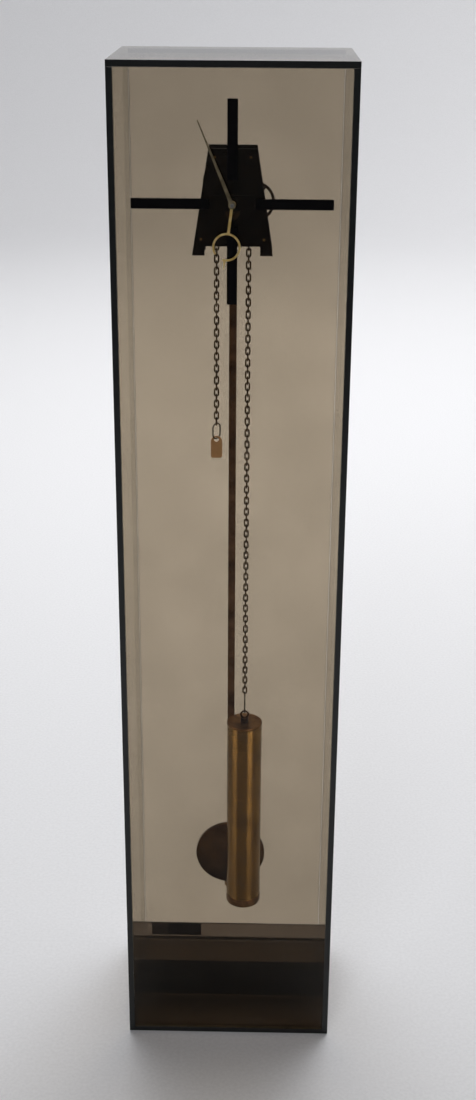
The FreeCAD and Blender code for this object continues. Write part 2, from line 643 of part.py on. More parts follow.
def chain_sprocket():
    depth0 = CHAIN_DEPTH - SPROCKET_HALF_W
    depth1 = CHAIN_DEPTH + SPROCKET_HALF_W
    cheek = LINK_END_R + SPROCKET_CHAIN_GAP
    drum = fuse_all([
        disc(GREAT_X, GREAT_Z, SPROCKET_GROOVE_R, depth0, depth1),
        disc(GREAT_X, GREAT_Z, SPROCKET_FLANGE_R, depth0, CHAIN_DEPTH - cheek),
        disc(GREAT_X, GREAT_Z, SPROCKET_FLANGE_R, CHAIN_DEPTH + cheek, depth1),
        disc(GREAT_X, GREAT_Z, SPROCKET_SEAT_R, depth0, CHAIN_DEPTH - SPROCKET_GROOVE_HALF),
        disc(GREAT_X, GREAT_Z, SPROCKET_SEAT_R, CHAIN_DEPTH + SPROCKET_GROOVE_HALF, depth1)])
    pockets = [disc(GREAT_X, GREAT_Z, GREAT_ARBOR_R + FIT, depth0 - OVERCUT, depth1 + OVERCUT)]
    for index in range(LINKS_OVER_SPROCKET):
        angle = 2 * math.pi * (index + 0.5) / LINKS_OVER_SPROCKET
        x, z = polar(GREAT_X, GREAT_Z, SPROCKET_SEAT_R + SPROCKET_POCKET_RISE, angle)
        pockets.append(disc(x, z, SPROCKET_POCKET_R, CHAIN_DEPTH - SPROCKET_POCKET_HALF,
                            CHAIN_DEPTH + SPROCKET_POCKET_HALF))
    save("chain_sprocket", cut_all(drum, pockets))


def third_arbor():
    pinion_phase = mesh_phase(0, DIAL_Z, CENTRE_TEETH, 0.0, THIRD_X, THIRD_Z, THIRD_LEAVES)
    pinion = gear(THIRD_X, THIRD_Z, THIRD_LEAVES, CENTRE_MODULE, pinion_phase,
                  CENTRE_WHEEL_DEPTH - PINION_LIP, CENTRE_WHEEL_DEPTH + WHEEL_T + PINION_LIP)
    save("third_arbor", fuse_all([plain_arbor(THIRD_X, THIRD_Z, ARBOR_R, PIVOT_R), pinion]))
    save("third_wheel", crossed_wheel(THIRD_X, THIRD_Z, THIRD_TEETH, THIRD_MODULE, 0.0,
                                      THIRD_WHEEL_DEPTH, ARBOR_R))


ESCAPE_TOOTH = 2.6
ESCAPE_RIM = 2.2
ESCAPE_HUB_R = 3.6
ESCAPE_SPOKE_W = 2.0
TOOTH_TIP_FROM = 0.10
TOOTH_TIP_TO = 0.16
TOOTH_BACK = 0.55


def escape_arbor():
    pinion_phase = mesh_phase(THIRD_X, THIRD_Z, THIRD_TEETH, 0.0, 0, ESCAPE_Z, ESCAPE_LEAVES)
    pinion = gear(0, ESCAPE_Z, ESCAPE_LEAVES, THIRD_MODULE, pinion_phase,
                  THIRD_WHEEL_DEPTH - PINION_LIP, THIRD_WHEEL_DEPTH + WHEEL_T + PINION_LIP)
    save("escape_arbor", fuse_all([plain_arbor(0, ESCAPE_Z, ARBOR_R, PIVOT_R), pinion]))
    step = 2 * math.pi / ESCAPE_TEETH
    root_r = ESCAPE_R - ESCAPE_TOOTH
    points = []
    for index in range(ESCAPE_TEETH):
        points.append(polar(0, ESCAPE_Z, root_r, index * step))
        points.append(polar(0, ESCAPE_Z, ESCAPE_R, (index + TOOTH_TIP_FROM) * step))
        points.append(polar(0, ESCAPE_Z, ESCAPE_R, (index + TOOTH_TIP_TO) * step))
        points.append(polar(0, ESCAPE_Z, root_r, (index + TOOTH_BACK) * step))
    depth1 = ESCAPE_DEPTH + WHEEL_T
    wheel = plate(points, ESCAPE_DEPTH, depth1)
    windows = crossings(0, ESCAPE_Z, ESCAPE_HUB_R, root_r - ESCAPE_RIM, 4, ESCAPE_SPOKE_W, 45.0,
                        ESCAPE_DEPTH, depth1)
    bore = disc(0, ESCAPE_Z, ARBOR_R, ESCAPE_DEPTH - OVERCUT, depth1 + OVERCUT)
    save("escape_wheel", cut_all(wheel, [windows, bore]))


# ---- Anchor, crutch and pendulum
ANCHOR_T = 4.2
ANCHOR_OUTLINE = ((3.0, 3.6), (13.0, -1.0), (15.2, -10.4), (12.2, -9.6), (10.4, -4.6), (3.0, -3.2))
CRUTCH_DEPTH = 67.0
CRUTCH_T = 1.6
CRUTCH_HALF_W = 2.5
CRUTCH_FOOT_Z = 1440.0
CRUTCH_HUB_R = 4.0
FORK_H = 5.0
FORK_GAP = 0.4
FORK_T = 2.0


def anchor_and_crutch():
    depth0 = ESCAPE_DEPTH + WHEEL_T / 2 - ANCHOR_T / 2
    depth1 = depth0 + ANCHOR_T
    outline = mirrored([(x, ANCHOR_Z + rise) for x, rise in ANCHOR_OUTLINE])
    pallets = plate(outline, depth0, depth1)
    save("anchor", pallets.cut(disc(0, ANCHOR_Z, ARBOR_R, depth0 - 1, depth1 + 1)))
    rear = CRUTCH_DEPTH + CRUTCH_T
    save("anchor_arbor",
         fuse_all([disc(0, ANCHOR_Z, PIVOT_R, FRONT_PLATE_DEPTH + PIVOT_END,
                        PLATE_FRONT_INNER + 2 * SHOULDER),
                   disc(0, ANCHOR_Z, ARBOR_R, PLATE_FRONT_INNER + SHOULDER, rear)]))
    reach = ROD_W / 2 + FORK_GAP
    arm = box(-CRUTCH_HALF_W, CRUTCH_HALF_W, FRONT_Y + CRUTCH_DEPTH, FRONT_Y + rear,
              CRUTCH_FOOT_Z, ANCHOR_Z)
    hub = disc(0, ANCHOR_Z, CRUTCH_HUB_R, CRUTCH_DEPTH, rear)
    yoke = box(-reach - FORK_T, reach + FORK_T, FRONT_Y + CRUTCH_DEPTH, FRONT_Y + rear,
               CRUTCH_FOOT_Z, CRUTCH_FOOT_Z + FORK_H)
    prongs = [box(x0, x0 + FORK_T, FRONT_Y + CRUTCH_DEPTH, PENDULUM_Y + ROD_T,
                  CRUTCH_FOOT_Z, CRUTCH_FOOT_Z + FORK_H) for x0 in (-reach - FORK_T, reach)]
    crutch = fuse_all([arm, hub, yoke] + prongs)
    save("crutch", crutch.cut(disc(0, ANCHOR_Z, ARBOR_R, CRUTCH_DEPTH - 1, rear + 1)))


def pendulum():
    spring_top = ANCHOR_Z - PIVOT_GAP
    spring_foot = ROD_TOP_Z + HOOK_H
    save("suspension_spring", box(-SPRING_T / 2, SPRING_T / 2, PENDULUM_Y - SPRING_W / 2,
                                  PENDULUM_Y + SPRING_W / 2, spring_foot, spring_top))
    save("suspension_hook", box(-BLOCK_HALF_X, BLOCK_HALF_X, PENDULUM_Y - BLOCK_HALF_Y,
                                PENDULUM_Y + BLOCK_HALF_Y, ROD_TOP_Z, spring_foot))
    bob_foot = BOB_Z - BOB_R
    strip = box(-ROD_W / 2, ROD_W / 2, PENDULUM_Y - ROD_T / 2, PENDULUM_Y + ROD_T / 2,
                bob_foot + ROD_INSIDE_BOB, ROD_TOP_Z)
    screw = upright(0, PENDULUM_Y, RATING_R, bob_foot - SCREW_BELOW_BOB, bob_foot + SCREW_INSIDE_BOB)
    save("pendulum_rod", fuse_all([strip, screw]))


def pendulum_bob():
    """A lens: a rim band and two shallow domes, turned about the Y axis."""
    half = BOB_T / 2
    rim = BOB_RIM_T / 2
    sag = half - rim
    dome_r = (BOB_R ** 2 + sag ** 2) / (2 * sag)
    y = PENDULUM_Y
    mid = BOB_R / 2
    mid_y = half - dome_r + math.sqrt(dome_r ** 2 - mid ** 2)
    front = Part.Arc(V(0, y - half, BOB_Z), V(mid, y - mid_y, BOB_Z), V(BOB_R, y - rim, BOB_Z))
    band = Part.LineSegment(V(BOB_R, y - rim, BOB_Z), V(BOB_R, y + rim, BOB_Z))
    back = Part.Arc(V(BOB_R, y + rim, BOB_Z), V(mid, y + mid_y, BOB_Z), V(0, y + half, BOB_Z))
    axis = Part.LineSegment(V(0, y + half, BOB_Z), V(0, y - half, BOB_Z))
    wire = Part.Wire([front.toShape(), band.toShape(), back.toShape(), axis.toShape()])
    lens = Part.Face(wire).revolve(V(0, y, BOB_Z), V(0, 1, 0), 360)
    lens = Part.Solid(lens.Shells[0]) if not lens.Solids else lens.Solids[0]
    if lens.Volume < 0:
        lens.reverse()
    slot = box(-ROD_W / 2 - BOB_PLAY, ROD_W / 2 + BOB_PLAY, y - ROD_T / 2 - BOB_PLAY,
               y + ROD_T / 2 + BOB_PLAY, BOB_Z - BOB_R + BOB_SLOT_LAND, BOB_Z + BOB_R + OVERCUT)
    bore = upright(0, y, RATING_R + BOB_PLAY, BOB_Z - BOB_R - OVERCUT,
                   BOB_Z - BOB_R + SCREW_INSIDE_BOB + SCREW_HEADROOM)
    save("pendulum_bob", cut_all(lens, [slot, bore]))


def rating_nut():
    z1 = BOB_Z - BOB_R - BOB_PLAY
    z0 = z1 - RATING_NUT_H
    nut = upright(0, PENDULUM_Y, RATING_NUT_R, z0, z1)
    flutes = []
    for index in range(NUT_FLUTES):
        x, dy = polar(0, 0, RATING_NUT_R + NUT_FLUTE_OUT, 2 * math.pi * index / NUT_FLUTES)
        flutes.append(upright(x, PENDULUM_Y + dy, NUT_FLUTE_R, z0 - OVERCUT, z1 + OVERCUT))
    nut = cut_all(nut, flutes)
    save("rating_nut", nut.cut(upright(0, PENDULUM_Y, RATING_R + FIT, z0 - OVERCUT, z1 + OVERCUT)))


# ---- Chain: plain oval wire links, every second one turned a quarter
def oval_link(half_straight, end_r, wire_r):
    """A link about the origin, long in Z, lying in the XZ plane."""
    parts = []
    for side in (-1, 1):
        parts.append(Part.makeCylinder(wire_r, 2 * half_straight,
                                       V(side * end_r, 0, -half_straight), V(0, 0, 1)))
    top = Part.makeTorus(end_r, wire_r, V(0, 0, half_straight), V(0, 1, 0))
    reach = end_r + wire_r + 1
    keep_top = Part.makeBox(2 * reach, 2 * reach, reach, V(-reach, -reach, half_straight))
    foot = Part.makeTorus(end_r, wire_r, V(0, 0, -half_straight), V(0, 1, 0))
    keep_foot = Part.makeBox(2 * reach, 2 * reach, reach, V(-reach, -reach, -half_straight - reach))
    parts.append(top.common(keep_top))
    parts.append(foot.common(keep_foot))
    return fuse_all(parts)


LINK_HALF = (LINK_PITCH + 2 * LINK_WIRE_R + LINK_PLAY) / 2
LINK_STRAIGHT = LINK_HALF - LINK_END_R


def chain_run(x, count, turned_first):
    links = []
    flat = oval_link(LINK_STRAIGHT, LINK_END_R, LINK_WIRE_R)
    turned = flat.copy()
    turned.rotate(V(0, 0, 0), V(0, 0, 1), 90)
    for index in range(count):
        source = turned if (index % 2 == 0) == turned_first else flat
        link = source.copy()
        link.translate(V(x, CHAIN_Y, GREAT_Z - LINK_PITCH * (index + 0.5)))
        links.append(link)
    return Part.makeCompound(links)


def chain_over():
    links = []
    flat = oval_link(LINK_STRAIGHT, LINK_END_R, LINK_WIRE_R)
    turned = flat.copy()
    turned.rotate(V(0, 0, 0), V(0, 0, 1), 90)
    step = 180.0 / LINKS_OVER_SPROCKET
    for index in range(LINKS_OVER_SPROCKET):
        link = (turned if index % 2 == 0 else flat).copy()
        link.translate(V(CHAIN_R * math.cos(math.radians(step / 2)), 0, 0))
        link.rotate(V(0, 0, 0), V(0, 1, 0), -step * (index + 0.5))
        link.translate(V(GREAT_X, CHAIN_Y, GREAT_Z))
        links.append(link)
    return Part.makeCompound(links)


def chains():
    save("chain_weight_side", chain_run(CHAIN_R, LINKS_WEIGHT_SIDE, False))
    save("chain_pull_side", chain_run(-CHAIN_R, LINKS_PULL_SIDE, True))
    save("chain_over_sprocket", chain_over())


def chain_end(count):
    """Height of the middle of the wire at the foot of a run's last link."""
    return GREAT_Z - LINK_PITCH * (count - 0.5) - LINK_HALF


# ---- Weight and its hook
def weight():
    x = CHAIN_R
    y = CHAIN_Y
    tube_top = WEIGHT_TOP - TOP_CAP_H
    tube_foot = WEIGHT_BOTTOM + BOTTOM_CAP_H
    tube = upright(x, y, WEIGHT_R, tube_foot, tube_top)
    save("weight_tube", tube.cut(upright(x, y, WEIGHT_R - WEIGHT_WALL, tube_foot - 1, tube_top + 1)))
    cap_r = WEIGHT_R + WEIGHT_LIP
    top_cap = upright(x, y, cap_r, tube_top, WEIGHT_TOP)
    save("weight_top_cap", round_edges(top_cap, TOP_CAP_ROUND))
    bottom_cap = upright(x, y, cap_r, WEIGHT_BOTTOM, tube_foot)
    save("weight_bottom_cap", round_edges(bottom_cap, BOTTOM_CAP_ROUND))
    core_r = WEIGHT_R - WEIGHT_WALL - CORE_PLAY
    save("weight_core", upright(x, y, core_r, tube_foot, tube_foot + CORE_H))
    eye_z = WEIGHT_TOP + EYE_BOSS_H - EYE_SUNK + EYE_R + EYE_WIRE_R
    boss = upright(x, y, EYE_BOSS_R, WEIGHT_TOP, WEIGHT_TOP + EYE_BOSS_H)
    eye = Part.makeTorus(EYE_R, EYE_WIRE_R, V(x, y, eye_z), V(0, 1, 0))
    save("weight_eye", fuse_all([boss, eye]))
    hook_top = chain_end(LINKS_WEIGHT_SIDE) + LINK_WIRE_R + HOOK_WIRE_R + LINK_PLAY
    hook_foot = eye_z + EYE_R - EYE_WIRE_R - HOOK_WIRE_R - LINK_PLAY
    half = (hook_top - hook_foot) / 2 - HOOK_END_R
    hook = oval_link(half, HOOK_END_R, HOOK_WIRE_R)
    hook.rotate(V(0, 0, 0), V(0, 0, 1), 90)
    hook.translate(V(x, y, (hook_top + hook_foot) / 2))
    save("chain_hook", hook)


def round_edges(shape, radius):
    edges = [edge for edge in shape.Edges if edge.Curve.TypeId == "Part::GeomCircle"]
    return shape.makeFillet(radius, edges)


# ---- Pull end: an open ring and a flat tag
def pull_end():
    x = -CHAIN_R
    ring_top = chain_end(LINKS_PULL_SIDE) + LINK_WIRE_R + RING_WIRE_R + LINK_PLAY
    ring_foot = ring_top - RING_HEIGHT
    ring = oval_link(RING_HEIGHT / 2 - RING_END_R, RING_END_R, RING_WIRE_R)
    ring.rotate(V(0, 0, 0), V(0, 0, 1), RING_YAW)
    ring.translate(V(x, CHAIN_Y, (ring_top + ring_foot) / 2))
    save("pull_ring", ring)
    hole_z = ring_foot - TAG_HOLE_DROP
    tag_top = hole_z + TAG_HOLE_R + TAG_HOLE_LAND
    y0 = CHAIN_Y - TAG_T / 2
    half = TAG_W / 2
    body = Part.makeBox(TAG_W, TAG_T, TAG_H - half, V(x - half, y0, tag_top - TAG_H))
    corners = [edge for edge in body.Edges
               if abs(edge.tangentAt(edge.FirstParameter).y) > 0.9
               and edge.CenterOfMass.z < tag_top - TAG_H + TAG_CORNER_R]
    body = body.makeFillet(TAG_CORNER_R, corners)
    crown = Part.makeCylinder(half, TAG_T, V(x, y0, tag_top - half), V(0, 1, 0))
    hole = Part.makeCylinder(TAG_HOLE_R, 10, V(x, CHAIN_Y - 5, hole_z), V(0, 1, 0))
    save("pull_tag", fuse_all([body, crown]).cut(hole))


case_panels()
base_pieces()
dial_bars()
minute_hand()
hour_hand()
centre_fixing()
motion_work()
movement_frame()
pendulum_cock()
centre_arbor()
intermediate_arbor()
great_arbor()
click_and_ratchet()
chain_sprocket()
third_arbor()
escape_arbor()
anchor_and_crutch()
pendulum()
pendulum_bob()
rating_nut()
chains()
weight()
pull_end()
print("arbors (x, z): intermediate", INTERMEDIATE_X, round(INTERMEDIATE_Z, 3),
      "great", GREAT_X, round(GREAT_Z, 3), "third", THIRD_X, round(THIRD_Z, 3),
      "escape", 0, round(ESCAPE_Z, 3), "anchor", 0, round(ANCHOR_Z, 3),
      "minute wheel", 0, round(MINUTE_WHEEL_Z, 3), "chain radius", round(CHAIN_R, 4))
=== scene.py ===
# %% [markdown]
# # A long-case clock in smoked acrylic
#
# The clock is a tall box of smoked cast acrylic with nothing to hide its works: a small brass
# movement between two bronzed plates, a chain with one cylinder weight, and a long pendulum.
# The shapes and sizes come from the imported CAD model, which this lesson loads first and never
# moves. Blender's part is the look: clean arrises, real chain links, and a material for
# every surface.

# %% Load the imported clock
import json
import math

import bmesh
import bpy
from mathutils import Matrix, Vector

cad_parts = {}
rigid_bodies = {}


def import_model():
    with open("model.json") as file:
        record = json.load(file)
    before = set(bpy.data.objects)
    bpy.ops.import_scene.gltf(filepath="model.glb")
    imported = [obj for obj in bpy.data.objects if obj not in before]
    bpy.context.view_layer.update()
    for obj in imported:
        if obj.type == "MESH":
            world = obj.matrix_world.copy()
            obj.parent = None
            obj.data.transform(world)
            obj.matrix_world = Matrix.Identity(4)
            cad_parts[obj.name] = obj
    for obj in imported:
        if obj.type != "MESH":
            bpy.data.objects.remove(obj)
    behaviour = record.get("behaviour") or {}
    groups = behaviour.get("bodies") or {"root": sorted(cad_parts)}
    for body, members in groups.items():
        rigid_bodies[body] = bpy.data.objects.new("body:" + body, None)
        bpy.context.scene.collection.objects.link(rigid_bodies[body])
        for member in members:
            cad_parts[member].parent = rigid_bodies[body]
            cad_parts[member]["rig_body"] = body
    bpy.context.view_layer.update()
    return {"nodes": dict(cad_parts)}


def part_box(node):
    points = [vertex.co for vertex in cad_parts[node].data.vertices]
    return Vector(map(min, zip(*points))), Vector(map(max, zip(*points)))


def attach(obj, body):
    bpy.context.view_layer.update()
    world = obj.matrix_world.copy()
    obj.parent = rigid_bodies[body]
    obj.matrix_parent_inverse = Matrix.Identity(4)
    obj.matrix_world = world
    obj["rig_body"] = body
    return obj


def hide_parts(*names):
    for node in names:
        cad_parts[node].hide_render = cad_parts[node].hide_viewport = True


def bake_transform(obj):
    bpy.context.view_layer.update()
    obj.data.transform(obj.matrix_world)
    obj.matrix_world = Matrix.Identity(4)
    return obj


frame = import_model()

MM = 0.001
scene = bpy.context.scene

# %% [markdown]
# ## The camera
#
# The camera stands a little above the top of the case, 2.3 m in front of the clock's middle, and
# looks down by about 22 degrees, so that the sides of the case draw together towards the floor.
# A portrait frame measures its lens along the long side.

# %% Camera
camera_data = bpy.data.cameras.new("camera")
camera_data.sensor_width = 36.0
camera_data.lens = 49.3
camera_data.clip_start = 0.05
camera_data.clip_end = 60.0
camera = bpy.data.objects.new("camera", camera_data)
camera.location = (0.048, -2.316, 1.833)
camera.rotation_euler = [math.radians(angle) for angle in (67.725, -0.356, 1.104)]
scene.collection.objects.link(camera)
scene.camera = camera
scene.view_settings.view_transform = "Standard"
# five clear sheets can stand one behind another, each with two faces, on the way in and out
scene.cycles.transparent_max_bounces = 24
print("camera at", tuple(camera.location))

# %% [markdown]
# ## Helpers for materials
#
# Colours are written as the hex values that a paint chart would give, and one function turns
# them into the linear numbers that a shader needs. A second function adds any node with its
# settings and links, so that a material reads as a short list.

# %% Colours and nodes
def colour(hex_value):
    """The linear colour of an sRGB hex value."""
    channels = [int(hex_value[start:start + 2], 16) / 255 for start in (0, 2, 4)]
    linear = [c / 12.92 if c <= 0.04045 else ((c + 0.055) / 1.055) ** 2.4 for c in channels]
    return (*linear, 1.0)


def add(tree, kind, settings=None, links=None):
    """Adds a node. A setting is an input's name or number, or a property of the node."""
    made = tree.nodes.new(kind)
    for key, value in (settings or {}).items():
        if isinstance(key, int) or key in made.inputs:
            made.inputs[key].default_value = value
        else:
            setattr(made, key, value)
    for key, source in (links or {}).items():
        tree.links.new(source, made.inputs[key])
    return made


def new_material(name):
    made = bpy.data.materials.new(name)
    made.use_nodes = True
    made.node_tree.nodes.clear()
    return made, made.node_tree


def two_tones(tree, factor, dark, light, low=0.35, high=0.65):
    """A colour ramp from dark to light between two values of a factor."""
    ramp = add(tree, "ShaderNodeValToRGB", {}, {"Fac": factor})
    ramp.color_ramp.elements[0].position = low
    ramp.color_ramp.elements[0].color = colour(dark)
    ramp.color_ramp.elements[1].position = high
    ramp.color_ramp.elements[1].color = colour(light)
    return ramp.outputs["Color"]


def spread(tree, factor, low, high):
    """Stretches a 0 to 1 factor so that it runs from low to high."""
    return add(tree, "ShaderNodeMapRange", {"To Min": low, "To Max": high},
               {"Value": factor}).outputs["Result"]


print("test colour", [round(c, 3) for c in colour("7F7F7F")[:3]])

# %% [markdown]
# ## Smoked cast acrylic
#
# The case is bronze-smoked cast acrylic with polished faces and machined edges. Through its
# thickness a sheet passes about two thirds of the light and warms it. Along its width the
# light crosses hundreds of millimetres of the same tint, so an edge looks black with a hint of
# green. Glass that bends light would leave the inside dark, because lamps don't reach through
# it, so the faces are a tinted transparent shader with a Fresnel gloss, and the edges are a
# solid one. The sheet's own normal says which is which. Real sheet also carries a film of dust,
# uneven smoke and hair-fine wiping marks.

# %% Acrylic sheet
ACRYLIC_IOR = 1.49
# The clear faces reflect less than bare acrylic, or the pale floor in front would veil the works.
CLEAR_IOR = 1.22


def acrylic(name, thin_axis, tint, edge, dust=0.004):
    """Sheet that is thin along one axis. The tint is what one of its two faces passes."""
    made, tree = new_material(name)
    place = add(tree, "ShaderNodeTexCoord")
    surface = add(tree, "ShaderNodeNewGeometry")
    facing = add(tree, "ShaderNodeVectorMath", {"operation": "DOT_PRODUCT", 1: thin_axis},
                 {0: place.outputs["Normal"]})
    squareness = add(tree, "ShaderNodeMath", {"operation": "ABSOLUTE"},
                     {0: facing.outputs["Value"]})
    on_edge = add(tree, "ShaderNodeMath", {"operation": "LESS_THAN", 1: 0.95},
                  {0: squareness.outputs["Value"]})
    # uneven smoke in the casting, in clouds about 160 mm across
    clouds = add(tree, "ShaderNodeTexNoise", {"Scale": 1 / (160 * MM), "Detail": 3.0},
                 {"Vector": place.outputs["Object"]})
    darker = "".join("%02X" % int(int(tint[start:start + 2], 16) * 0.985) for start in (0, 2, 4))
    tone = two_tones(tree, clouds.outputs["Fac"], darker, tint)
    # wiping marks, drawn about 1.5 mm apart because real ones are too fine to show
    stretched = add(tree, "ShaderNodeMapping",
                    {"Scale": (1.0, 1.0, 0.04), "Rotation": (0.2, 0.15, 0.1)},
                    {"Vector": place.outputs["Object"]})
    marks = add(tree, "ShaderNodeTexNoise", {"Scale": 1 / (1.5 * MM), "Detail": 2.0},
                {"Vector": stretched.outputs["Vector"]})
    gloss_rough = spread(tree, marks.outputs["Fac"], 0.015, 0.07)
    # dust lies in patches about 45 mm across
    film = add(tree, "ShaderNodeTexNoise",
               {"Scale": 1 / (45 * MM), "Detail": 5.0, "Roughness": 0.65},
               {"Vector": place.outputs["Object"]})
    dust_share = spread(tree, film.outputs["Fac"], 0.2 * dust, 1.8 * dust)
    # a ray meets the same gloss from either side of the sheet
    index = spread(tree, surface.outputs["Backfacing"], CLEAR_IOR, 1 / CLEAR_IOR)
    fresnel = add(tree, "ShaderNodeFresnel", {}, {"IOR": index})
    clear = add(tree, "ShaderNodeBsdfTransparent", {}, {"Color": tone})
    gloss = add(tree, "ShaderNodeBsdfAnisotropic", {"Color": (1, 1, 1, 1)},
                {"Roughness": gloss_rough})
    face = add(tree, "ShaderNodeMixShader", {},
               {0: fresnel.outputs["Fac"], 1: clear.outputs[0], 2: gloss.outputs[0]})
    powder = add(tree, "ShaderNodeBsdfDiffuse", {"Color": colour("9A948A")})
    dusty = add(tree, "ShaderNodeMixShader", {},
                {0: dust_share, 1: face.outputs[0], 2: powder.outputs[0]})
    # the saw's marks on a machined edge, 2.5 mm apart
    saw = add(tree, "ShaderNodeTexNoise", {"Scale": 1 / (2.5 * MM), "Detail": 2.0},
              {"Vector": place.outputs["Object"]})
    edge_tone = two_tones(tree, saw.outputs["Fac"], "040505", edge, 0.3, 0.8)
    cut = add(tree, "ShaderNodeBsdfPrincipled", {"IOR": ACRYLIC_IOR},
              {"Base Color": edge_tone,
               "Roughness": spread(tree, saw.outputs["Fac"], 0.10, 0.24)})
    # light that leaves through an edge has crossed some of the width, and comes out dimmed
    through_edge = add(tree, "ShaderNodeBsdfTransparent", {"Color": colour("A39E94")})
    edge_face = add(tree, "ShaderNodeMixShader", {},
                    {0: surface.outputs["Backfacing"], 1: cut.outputs[0],
                     2: through_edge.outputs[0]})
    both = add(tree, "ShaderNodeMixShader", {},
               {0: on_edge.outputs["Value"], 1: dusty.outputs[0], 2: edge_face.outputs[0]})
    add(tree, "ShaderNodeOutputMaterial", {}, {"Surface": both.outputs[0]})
    return made


SMOKE = "E7E2DA"
EDGE = "0B1211"
smoked_side = acrylic("smoked_acrylic_sides", (1, 0, 0), SMOKE, EDGE)
smoked_face = acrylic("smoked_acrylic_front_and_back", (0, 1, 0), SMOKE, EDGE)
smoked_top = acrylic("smoked_acrylic_top", (0, 0, 1), SMOKE, EDGE, 0.008)
# dust settles on the floor of a case that is seldom opened
smoked_floor = acrylic("smoked_acrylic_dusty_floor", (0, 0, 1), "F2ECE2", EDGE, 0.30)
# the edge colour 3A2C30 is a painted highlight: this dark sheet's top edge is painted a lighter
# purple than the near-black edge such a sheet has
dark_sheet = acrylic("dark_smoked_acrylic", (0, 1, 0), "BCB6B2", "3A2C30", 0.002)
print("acrylic", [sheet.name for sheet in (smoked_side, smoked_face, smoked_top, smoked_floor,
                                          dark_sheet)])

# %% [markdown]
# ## Black acrylic
#
# The hour bars and the rail across the base are opaque black cast acrylic, cut and flame
# polished. What shows on it is a soft reflection, broken up by faint smears and specks of lint,
# so the roughness wanders between a mirror and satin.

# %% Black acrylic
def black_acrylic(name, base, lint):
    made, tree = new_material(name)
    place = add(tree, "ShaderNodeTexCoord")
    smear = add(tree, "ShaderNodeTexNoise",
                {"Scale": 1 / (18 * MM), "Detail": 5.0, "Distortion": 0.6},
                {"Vector": place.outputs["Object"]})
    specks = add(tree, "ShaderNodeTexNoise", {"Scale": 1 / (1.2 * MM), "Detail": 1.0},
                 {"Vector": place.outputs["Object"]})
    tone = two_tones(tree, specks.outputs["Fac"], base, lint, 0.62, 0.86)
    ripple = add(tree, "ShaderNodeBump", {"Strength": 0.15, "Distance": 0.1 * MM},
                 {"Height": smear.outputs["Fac"]})
    skin = add(tree, "ShaderNodeBsdfPrincipled", {"IOR": ACRYLIC_IOR, "Specular IOR Level": 0.15},
               {"Base Color": tone, "Roughness": spread(tree, smear.outputs["Fac"], 0.10, 0.30),
                "Normal": ripple.outputs["Normal"]})
    add(tree, "ShaderNodeOutputMaterial", {}, {"Surface": skin.outputs[0]})
    return made


black_bars = black_acrylic("black_acrylic_polished", "020102", "0A0809")
print("black acrylic", black_bars.name)

# %% [markdown]
# ## Metals
#
# Everything inside is brass, bronze or steel. Each finish mixes two tones of its patina in
# clouds, and draws the marks of how it was made as fine noise, which drives both the roughness
# and a shallow bump. Stretching the coordinates turns that noise into brush lines, and
# measuring from an axis turns it into the rings that a lathe leaves. Real brush and tool marks
# are finer than the grain sizes here, which are as coarse as they need to be to show.

# %% Metal finishes
def metal(name, light, dark, rough, clouds_mm, grain_mm, depth_mm, stretch=(1, 1, 1), axis=None,
          low=0.35, high=0.65, anisotropic=0.0, turned=0.0):
    """A metal with clouds of patina and a grain. An axis is a point and the plane round it."""
    made, tree = new_material(name)
    place = add(tree, "ShaderNodeTexCoord")
    clouds = add(tree, "ShaderNodeTexNoise",
                 {"Scale": 1 / (clouds_mm * MM), "Detail": 5.0, "Roughness": 0.6},
                 {"Vector": place.outputs["Object"]})
    if axis:
        point, plane = axis
        from_axis = add(tree, "ShaderNodeVectorMath", {"operation": "SUBTRACT", 1: point},
                        {0: place.outputs["Object"]})
        across = add(tree, "ShaderNodeVectorMath", {"operation": "MULTIPLY", 1: plane},
                     {0: from_axis.outputs["Vector"]})
        reach = add(tree, "ShaderNodeVectorMath", {"operation": "LENGTH"},
                    {0: across.outputs["Vector"]})
        grain = add(tree, "ShaderNodeTexNoise",
                    {"noise_dimensions": "1D", "Scale": 1 / (grain_mm * MM), "Detail": 3.0},
                    {"W": reach.outputs["Value"]})
    else:
        brushed = add(tree, "ShaderNodeMapping", {"Scale": stretch},
                      {"Vector": place.outputs["Object"]})
        grain = add(tree, "ShaderNodeTexNoise", {"Scale": 1 / (grain_mm * MM), "Detail": 3.0},
                    {"Vector": brushed.outputs["Vector"]})
    marks = add(tree, "ShaderNodeBump", {"Strength": 0.5, "Distance": depth_mm * MM},
                {"Height": grain.outputs["Fac"]})
    tone = two_tones(tree, clouds.outputs["Fac"], dark, light, low, high)
    skin = add(tree, "ShaderNodeBsdfPrincipled",
               {"Metallic": 1.0, "Anisotropic": anisotropic, "Anisotropic Rotation": turned},
               {"Base Color": tone, "Normal": marks.outputs["Normal"],
                "Roughness": spread(tree, grain.outputs["Fac"], 0.75 * rough, 1.3 * rough)})
    add(tree, "ShaderNodeOutputMaterial", {}, {"Surface": skin.outputs[0]})
    return made


# name, light and dark tone, roughness, then clouds, grain and depth in mm
bronzed_plate = metal("bronzed_brass_plate", "2B231B", "15110D", 0.42, 14, 0.9, 0.03, (1, 1, 0.1))
wheel_brass = metal("cut_wheel_brass", "5E4A32", "3C2E1E", 0.34, 6, 0.5, 0.01)
turned_brass = metal("turned_brass", "A4834D", "6E5330", 0.28, 5, 0.4, 0.01)
minute_brass = metal("aged_hand_brass", "A39678", "6E634C", 0.30, 9, 0.6, 0.01)
hour_brass = metal("polished_hand_brass", "F7DC9C", "CDA95A", 0.36, 12, 0.6, 0.01)
steel = metal("bright_steel", "B9B7B2", "8B8883", 0.24, 4, 0.4, 0.008)
chain_bronze = metal("antique_bronze_wire", "7B664B", "3B2E22", 0.34, 3, 0.5, 0.02)
ring_bronze = metal("dark_bronze_wire", "4A3D30", "2B231B", 0.36, 4, 0.5, 0.02)
